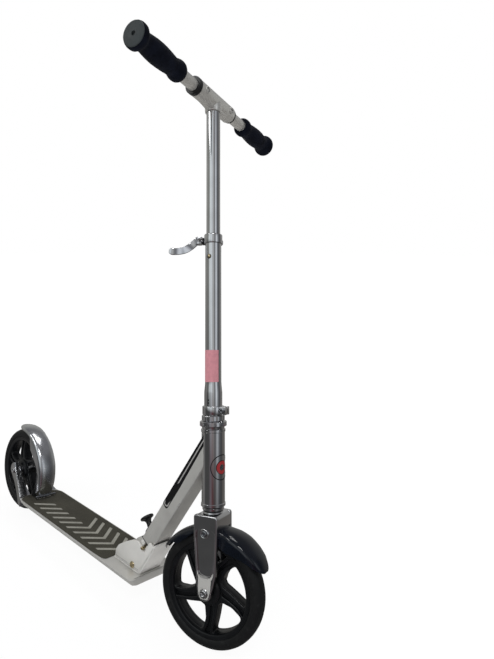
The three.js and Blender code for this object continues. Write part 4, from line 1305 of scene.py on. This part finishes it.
# ------------------------------------------------------------------ bar
class SCOOTER_OT_handlebar(bpy.types.Operator):
    """Builds the sliding tube, the bar, its centre casting and the grips"""

    bl_idname = "scooter.handlebar"
    bl_label = "Handlebar"

    def execute(self, context):
        sizes = context.scene.scooter_column
        group = "handlebar_group"
        upper, tube, clamp = sizes.upper_radius, sizes.bar_radius, sizes.clamp_radius
        bar = STEERED @ move(z=BAR_HEIGHT)
        across = bar @ ACROSS

        sliding = Shape(STEERED)
        profile = [(upper - 1.5, 500), (upper, 500), (upper, 845), (upper - 1.5, 845), (upper - 1.5, 500)]
        sliding.turned(profile, segments=96)
        hole = Shape(STEERED @ move(z=BUTTON_HEIGHT) @ turn(90, "X"))
        hole.turned([(0, 8), (3.6, 8), (3.6, 14), (0, 14)], segments=40)
        sliding.bored(hole)
        sliding.done("sliding_tube", "chrome", group, ["upper_tube"])
        finish_node("guide_bush", "black")

        def grooved(r, height, angle):
            return r - 0.35 if r > 10 and abs(angle - math.radians(68)) < 0.05 else r

        rods = Shape(across)
        end = sizes.grip_outer - 4
        rods.turned([(tube - 2, -end), (tube, -end), (tube, end), (tube - 2, end), (tube - 2, -end)],
            segments=128,
                    radius_at=grooved)
        rods.done("bar_tube", "bar", group, ["handlebar_tube"])

        body = Shape(across)
        profile = [(tube + 0.1, -58), (clamp - 0.5, -58), (clamp, -57.4), (clamp, 53.6), (clamp - 0.4, 54.4)]
        profile += [(13.0, 58.3), (tube + 0.1, 58.3), (tube + 0.1, -58)]
        body.turned(profile, segments=96)
        body.place = bar
        socket = [(upper + 0.2, -20), (14.3, -20), (14.9, -19), (15.2, -12), (15.4, -2), (upper + 0.2, -2)]
        body.turned(socket + socket[:1], segments=72)
        gusset = [(-57, -4), (57, -4), (57, -11.5), (46, -13.8), (30, -15.4), (17, -17.4), (12, -19.4),
            (-12, -19.4)]
        gusset += [(-17, -17.4), (-30, -15.4), (-46, -13.8), (-57, -11.5)]
        gusset = rounded(gusset, [1, 1, 2, 8, 9, 7, 3, 3, 7, 9, 8, 2])
        body.plate([gusset], -9.5, 9.5, 4.6, turn(90, "Z") @ SIDEWAYS, 6)
        for y in (-BAR_SCREW, BAR_SCREW):
            recess = [(4.4, 14.2), (6.4, 14.2), (6.4, 15.6), (5.9, 16.1), (4.4, 16.1), (4.4, 14.2)]
            body.turned(recess, move(0, y, -1) @ turn(90, "Y"), 40)
        body.done("bar_centre_casting", "bar", group, ["t_clamp"], angle=38)
        for side, y in (("right", -BAR_SCREW), ("left", BAR_SCREW)):
            screw = Shape(bar @ move(0, y, -1) @ turn(90, "Y"))
            socket_head(screw, move(z=12.4), 4.3, 3.2, 2.2)
            screw.done(f"bar_screw_{side}", "steel", group, [f"t_clamp_bolt_{side}"])
        for side, low, high, radius in (("right", -66.5, -58.2, 15.7), ("left", 58.5, 60.8, 13.6)):
            band = Shape(across)
            edge = [(tube + 0.1, low), (radius - 0.8, low), (radius, low + 0.8), (radius, high - 0.5),
                (radius - 0.5, high)]
            edge += [(tube + 0.1, high), (tube + 0.1, low)]
            band.turned(edge, segments=72)
            band.done(f"bar_band_{side}", "black", group, [f"clamp_ring_{side}"])

        inner, outer = sizes.grip_inner, sizes.grip_outer
        outline = [(tube + 0.2, inner), (14.4, inner), (15.6, inner + 0.8), (17.2, inner + 4),
            (17.75, inner + 8)]
        outline += [(17.5, inner + 12), (16.4, inner + 16), (15.2, inner + 20), (15.0, inner + 23),
            (15.5, inner + 28)]
        outline += [(16.6, inner + 38), (17.5, inner + 50), (17.8, inner + 60), (17.3, inner + 72),
            (16.2, inner + 82)]
        outline += [(15.3, inner + 89), (15.3, inner + 93), (16.6, inner + 97), (19.2, inner + 100.6),
            (20.7, inner + 103)]
        outline += [(21.1, inner + 106), (21.0, inner + 109), (20.3, outer - 0.6), (19.4, outer),
            (tube + 0.2, outer)]
        outline.append((tube + 0.2, inner))
        cap = [(0, outer - 8), (tube - 2.4, outer - 8), (tube - 2.4, outer - 0.4), (19.2, outer - 0.4),
            (19.5, outer + 0.4)]
        cap += [(19.0, outer + 1.5), (17.6, outer + 2.0), (3.8, outer + 2.1), (3.4, outer + 1.6),
            (3.4, outer - 1), (0, outer - 1)]
        for side, mirror in (("right", turn(180, "X")), ("left", Matrix.Identity(4))):
            grip = Shape(across @ mirror)
            grip.turned(outline, segments=96)
            made = grip.done(f"foam_grip_{side}", "foam", group, [f"grip_{side}"], angle=60)
            plug = Shape(across @ mirror)
            plug.turned(cap, segments=72)
            plug.done(f"bar_plug_{side}", "cap", group, [f"end_cap_{side}"], angle=30)
        return {"FINISHED"}


# ------------------------------------------------------------------ studio
ROOM_LOW = (
    (0.00, (0.16, 0.16, 0.15)), (0.075, (0.26, 0.25, 0.24)), (0.11, (0.20, 0.20, 0.20)),
    (0.14, (0.08, 0.08, 0.08)),
    (0.25, (0.08, 0.08, 0.08)), (0.31, (0.19, 0.16, 0.18)), (0.345, (0.13, 0.06, 0.065)),
    (0.38, (0.10, 0.06, 0.06)),
    (0.41, (0.07, 0.06, 0.06)), (0.465, (0.15, 0.15, 0.15)), (0.53, (0.06, 0.06, 0.065)),
    (0.61, (0.07, 0.07, 0.07)),
    (0.68, (0.16, 0.15, 0.14)), (0.80, (0.20, 0.19, 0.18)), (1.00, (0.16, 0.16, 0.15)),
)
ROOM_HIGH = (
    (0.00, (0.42, 0.42, 0.40)), (0.07, (0.40, 0.40, 0.38)), (0.14, (0.28, 0.29, 0.27)),
    (0.17, (0.33, 0.34, 0.33)),
    (0.205, (0.78, 0.82, 0.82)), (0.235, (1.05, 1.14, 1.16)), (0.268, (0.74, 0.78, 0.80)),
    (0.30, (0.98, 1.05, 1.10)),
    (0.335, (0.56, 0.58, 0.59)), (0.37, (0.60, 0.61, 0.61)), (0.40, (0.30, 0.31, 0.31)),
    (0.438, (0.24, 0.25, 0.27)),
    (0.468, (0.85, 0.89, 0.94)), (0.497, (0.84, 0.89, 0.95)), (0.53, (0.30, 0.32, 0.34)),
    (0.57, (0.17, 0.18, 0.19)),
    (0.60, (0.10, 0.10, 0.11)), (0.64, (0.15, 0.15, 0.15)), (0.70, (0.34, 0.34, 0.33)),
    (0.85, (0.44, 0.44, 0.43)),
    (1.00, (0.42, 0.42, 0.40)),
)


def studio_world():
    """A white backdrop, and a dim room with tall soft panels for the metal to mirror."""
    world = bpy.data.worlds.new("studio")
    bpy.context.scene.world = world
    sheet = Sheet(world)
    output = sheet.tree.nodes.new("ShaderNodeOutputWorld")
    direction = sheet.node("ShaderNodeTexCoord", {}, {}, "Generated")
    x, y, z = (sheet.node("ShaderNodeSeparateXYZ", {}, {"Vector": direction}, axis) for axis in "XYZ")
    bearing = sheet.node("ShaderNodeMath", {"operation": "ARCTAN2"}, {0: y, 1: x})
    around = bearing.fitted(-math.pi, math.pi)
    low = sheet.node("ShaderNodeValToRGB", {"stops": ROOM_LOW}, {"Fac": around}, "Color")
    high = sheet.node("ShaderNodeValToRGB", {"stops": ROOM_HIGH}, {"Fac": around}, "Color")
    walls = sheet.mixed(z.fitted(-0.16, 0.14), low, high)
    room = sheet.mixed(z.fitted(0.5, 0.7), walls, (0.22, 0.22, 0.23))
    dim = sheet.node("ShaderNodeBackground", {}, {"Color": room, "Strength": 1.0})
    seen = sheet.node("ShaderNodeBackground", {}, {"Color": (1.0, 1.0, 1.0, 1.0), "Strength": 1.0})
    rays = sheet.node("ShaderNodeLightPath", {}, {}, "Is Camera Ray")
    chosen = sheet.node("ShaderNodeMixShader", {}, {"Fac": rays, 1: dim, 2: seen})
    sheet.feed(output.inputs["Surface"], chosen)


def studio_floor(base, lean):
    """A pale disc that the tyres and the stand rest on, fading into the backdrop."""
    material = bpy.data.materials.new("studio_floor")
    sheet = Sheet(material)
    output = sheet.tree.nodes.new("ShaderNodeOutputMaterial")
    matte = sheet.node("ShaderNodeBsdfDiffuse", {}, {"Color": (*base, 1.0)})
    glow = sheet.node("ShaderNodeEmission", {}, {"Color": (1.0, 1.0, 1.0, 1.0), "Strength": 1.04})
    place = sheet.node("ShaderNodeTexCoord", {}, {}, "Object")
    reach = sheet.node("ShaderNodeVectorMath", {"operation": "LENGTH"}, {0: place}, "Value")
    blend = sheet.node("ShaderNodeMixShader", {}, {"Fac": reach.fitted(0.3, 0.9, 0.90, 1.0), 1: matte,
        2: glow})
    sheet.feed(output.inputs["Surface"], blend)
    disc = bmesh.new()
    bmesh.ops.create_circle(disc, cap_ends=True, radius=12.0, segments=96)
    mesh = bpy.data.meshes.new("studio_floor")
    disc.to_mesh(mesh)
    disc.free()
    mesh.materials.append(material)
    floor = bpy.data.objects.new("studio_floor", mesh)
    floor.rotation_euler = (lean, 0, 0)
    floor.location = (0, 0, -0.0008)
    floor.visible_glossy = False
    bpy.context.scene.collection.objects.link(floor)


def soft_panel(name, location, target, width, height, watts):
    light = bpy.data.lights.new(name, "AREA")
    light.shape = "RECTANGLE"
    light.size, light.size_y = width, height
    light.energy = watts
    panel = bpy.data.objects.new(name, light)
    panel.location = location
    aim = Vector(target) - Vector(location)
    panel.rotation_euler = aim.to_track_quat("-Z", "Y").to_euler()
    bpy.context.scene.collection.objects.link(panel)


class SCOOTER_OT_studio(bpy.types.Operator):
    """Builds the floor, the lights and the camera"""

    bl_idname = "scooter.studio"
    bl_label = "Studio"

    def execute(self, context):
        studio_world()
        foot_low, foot_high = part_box("kickstand_foot")
        lean = math.atan2(foot_low[2], (foot_low[1] + foot_high[1]) / 2)
        studio_floor(tuple(context.scene.scooter_colours.floor), lean)
        soft_panel("key", (1.2, -1.4, 2.4), (0, 0, 0.4), 0.8, 0.3, 13)
        soft_panel("fill", (-0.8, -1.8, 2.0), (0, 0, 0.4), 0.8, 0.8, 8)
        soft_panel("top", (-0.4, 0.3, 2.8), (0, 0, 0.3), 1.0, 1.0, 16)
        camera = bpy.data.cameras.new("camera")
        camera.lens = 27.06
        camera.sensor_width = 36.0
        camera.clip_start = 0.05
        eye = bpy.data.objects.new("camera", camera)
        across, height, ahead = math.radians(129.1275), math.radians(-3.2909), math.radians(7.4058)
        facing = Vector((math.cos(across) * math.cos(height), math.sin(across) * math.cos(height),
            math.sin(height)))
        eye.matrix_world = (
            Matrix.Translation((1.18457 + REAR_AXLE.x, -0.64121, 0.59742))
            @ facing.to_track_quat("-Z", "Y").to_matrix().to_4x4()
            @ Matrix.Rotation(ahead, 4, "Z")
        )
        context.scene.collection.objects.link(eye)
        context.scene.camera = eye
        context.scene.view_settings.view_transform = "Standard"
        return {"FINISHED"}


# ------------------------------------------------------------------ add-on
class SCOOTER_PT_build(bpy.types.Panel):
    """Lists the scooter's sizes, colours and build steps"""

    bl_label = "Folding Kick Scooter"
    bl_idname = "SCOOTER_PT_build"
    bl_space_type = "VIEW_3D"
    bl_region_type = "UI"
    bl_category = "Scooter"

    def draw(self, context):
        for group in ("scooter_wheels", "scooter_deck", "scooter_column", "scooter_colours"):
            settings = getattr(context.scene, group)
            box = self.layout.box()
            for key in type(settings).__annotations__:
                box.prop(settings, key)
        for step in STEPS:
            self.layout.operator(step.bl_idname)


STEPS = (
    SCOOTER_OT_deck,
    SCOOTER_OT_rear_arms,
    SCOOTER_OT_wheels,
    SCOOTER_OT_mudguards,
    SCOOTER_OT_side_stand,
    SCOOTER_OT_fold_bracket,
    SCOOTER_OT_down_tube,
    SCOOTER_OT_head_tube,
    SCOOTER_OT_fork,
    SCOOTER_OT_lower_column,
    SCOOTER_OT_height_collar,
    SCOOTER_OT_handlebar,
    SCOOTER_OT_studio,
)
GROUPS = {
    "scooter_wheels": ScooterWheelSizes,
    "scooter_deck": ScooterDeckSizes,
    "scooter_column": ScooterColumnSizes,
    "scooter_colours": ScooterColours,
}


def register():
    for group in GROUPS.values():
        bpy.utils.register_class(group)
    for name, group in GROUPS.items():
        setattr(bpy.types.Scene, name, bpy.props.PointerProperty(type=group))
    for step in STEPS:
        bpy.utils.register_class(step)
    bpy.utils.register_class(SCOOTER_PT_build)


def unregister():
    bpy.utils.unregister_class(SCOOTER_PT_build)
    for step in reversed(STEPS):
        bpy.utils.unregister_class(step)
    for name, group in GROUPS.items():
        delattr(bpy.types.Scene, name)
        bpy.utils.unregister_class(group)


def main():
    register()
    FINISHES.update(all_finishes(bpy.context.scene.scooter_colours))
    for step in STEPS:
        area, call = step.bl_idname.split(".")
        if getattr(getattr(bpy.ops, area), call)() != {"FINISHED"}:
            raise RuntimeError(f"{step.bl_label} was not built")


if __name__ == "__main__":
    main()
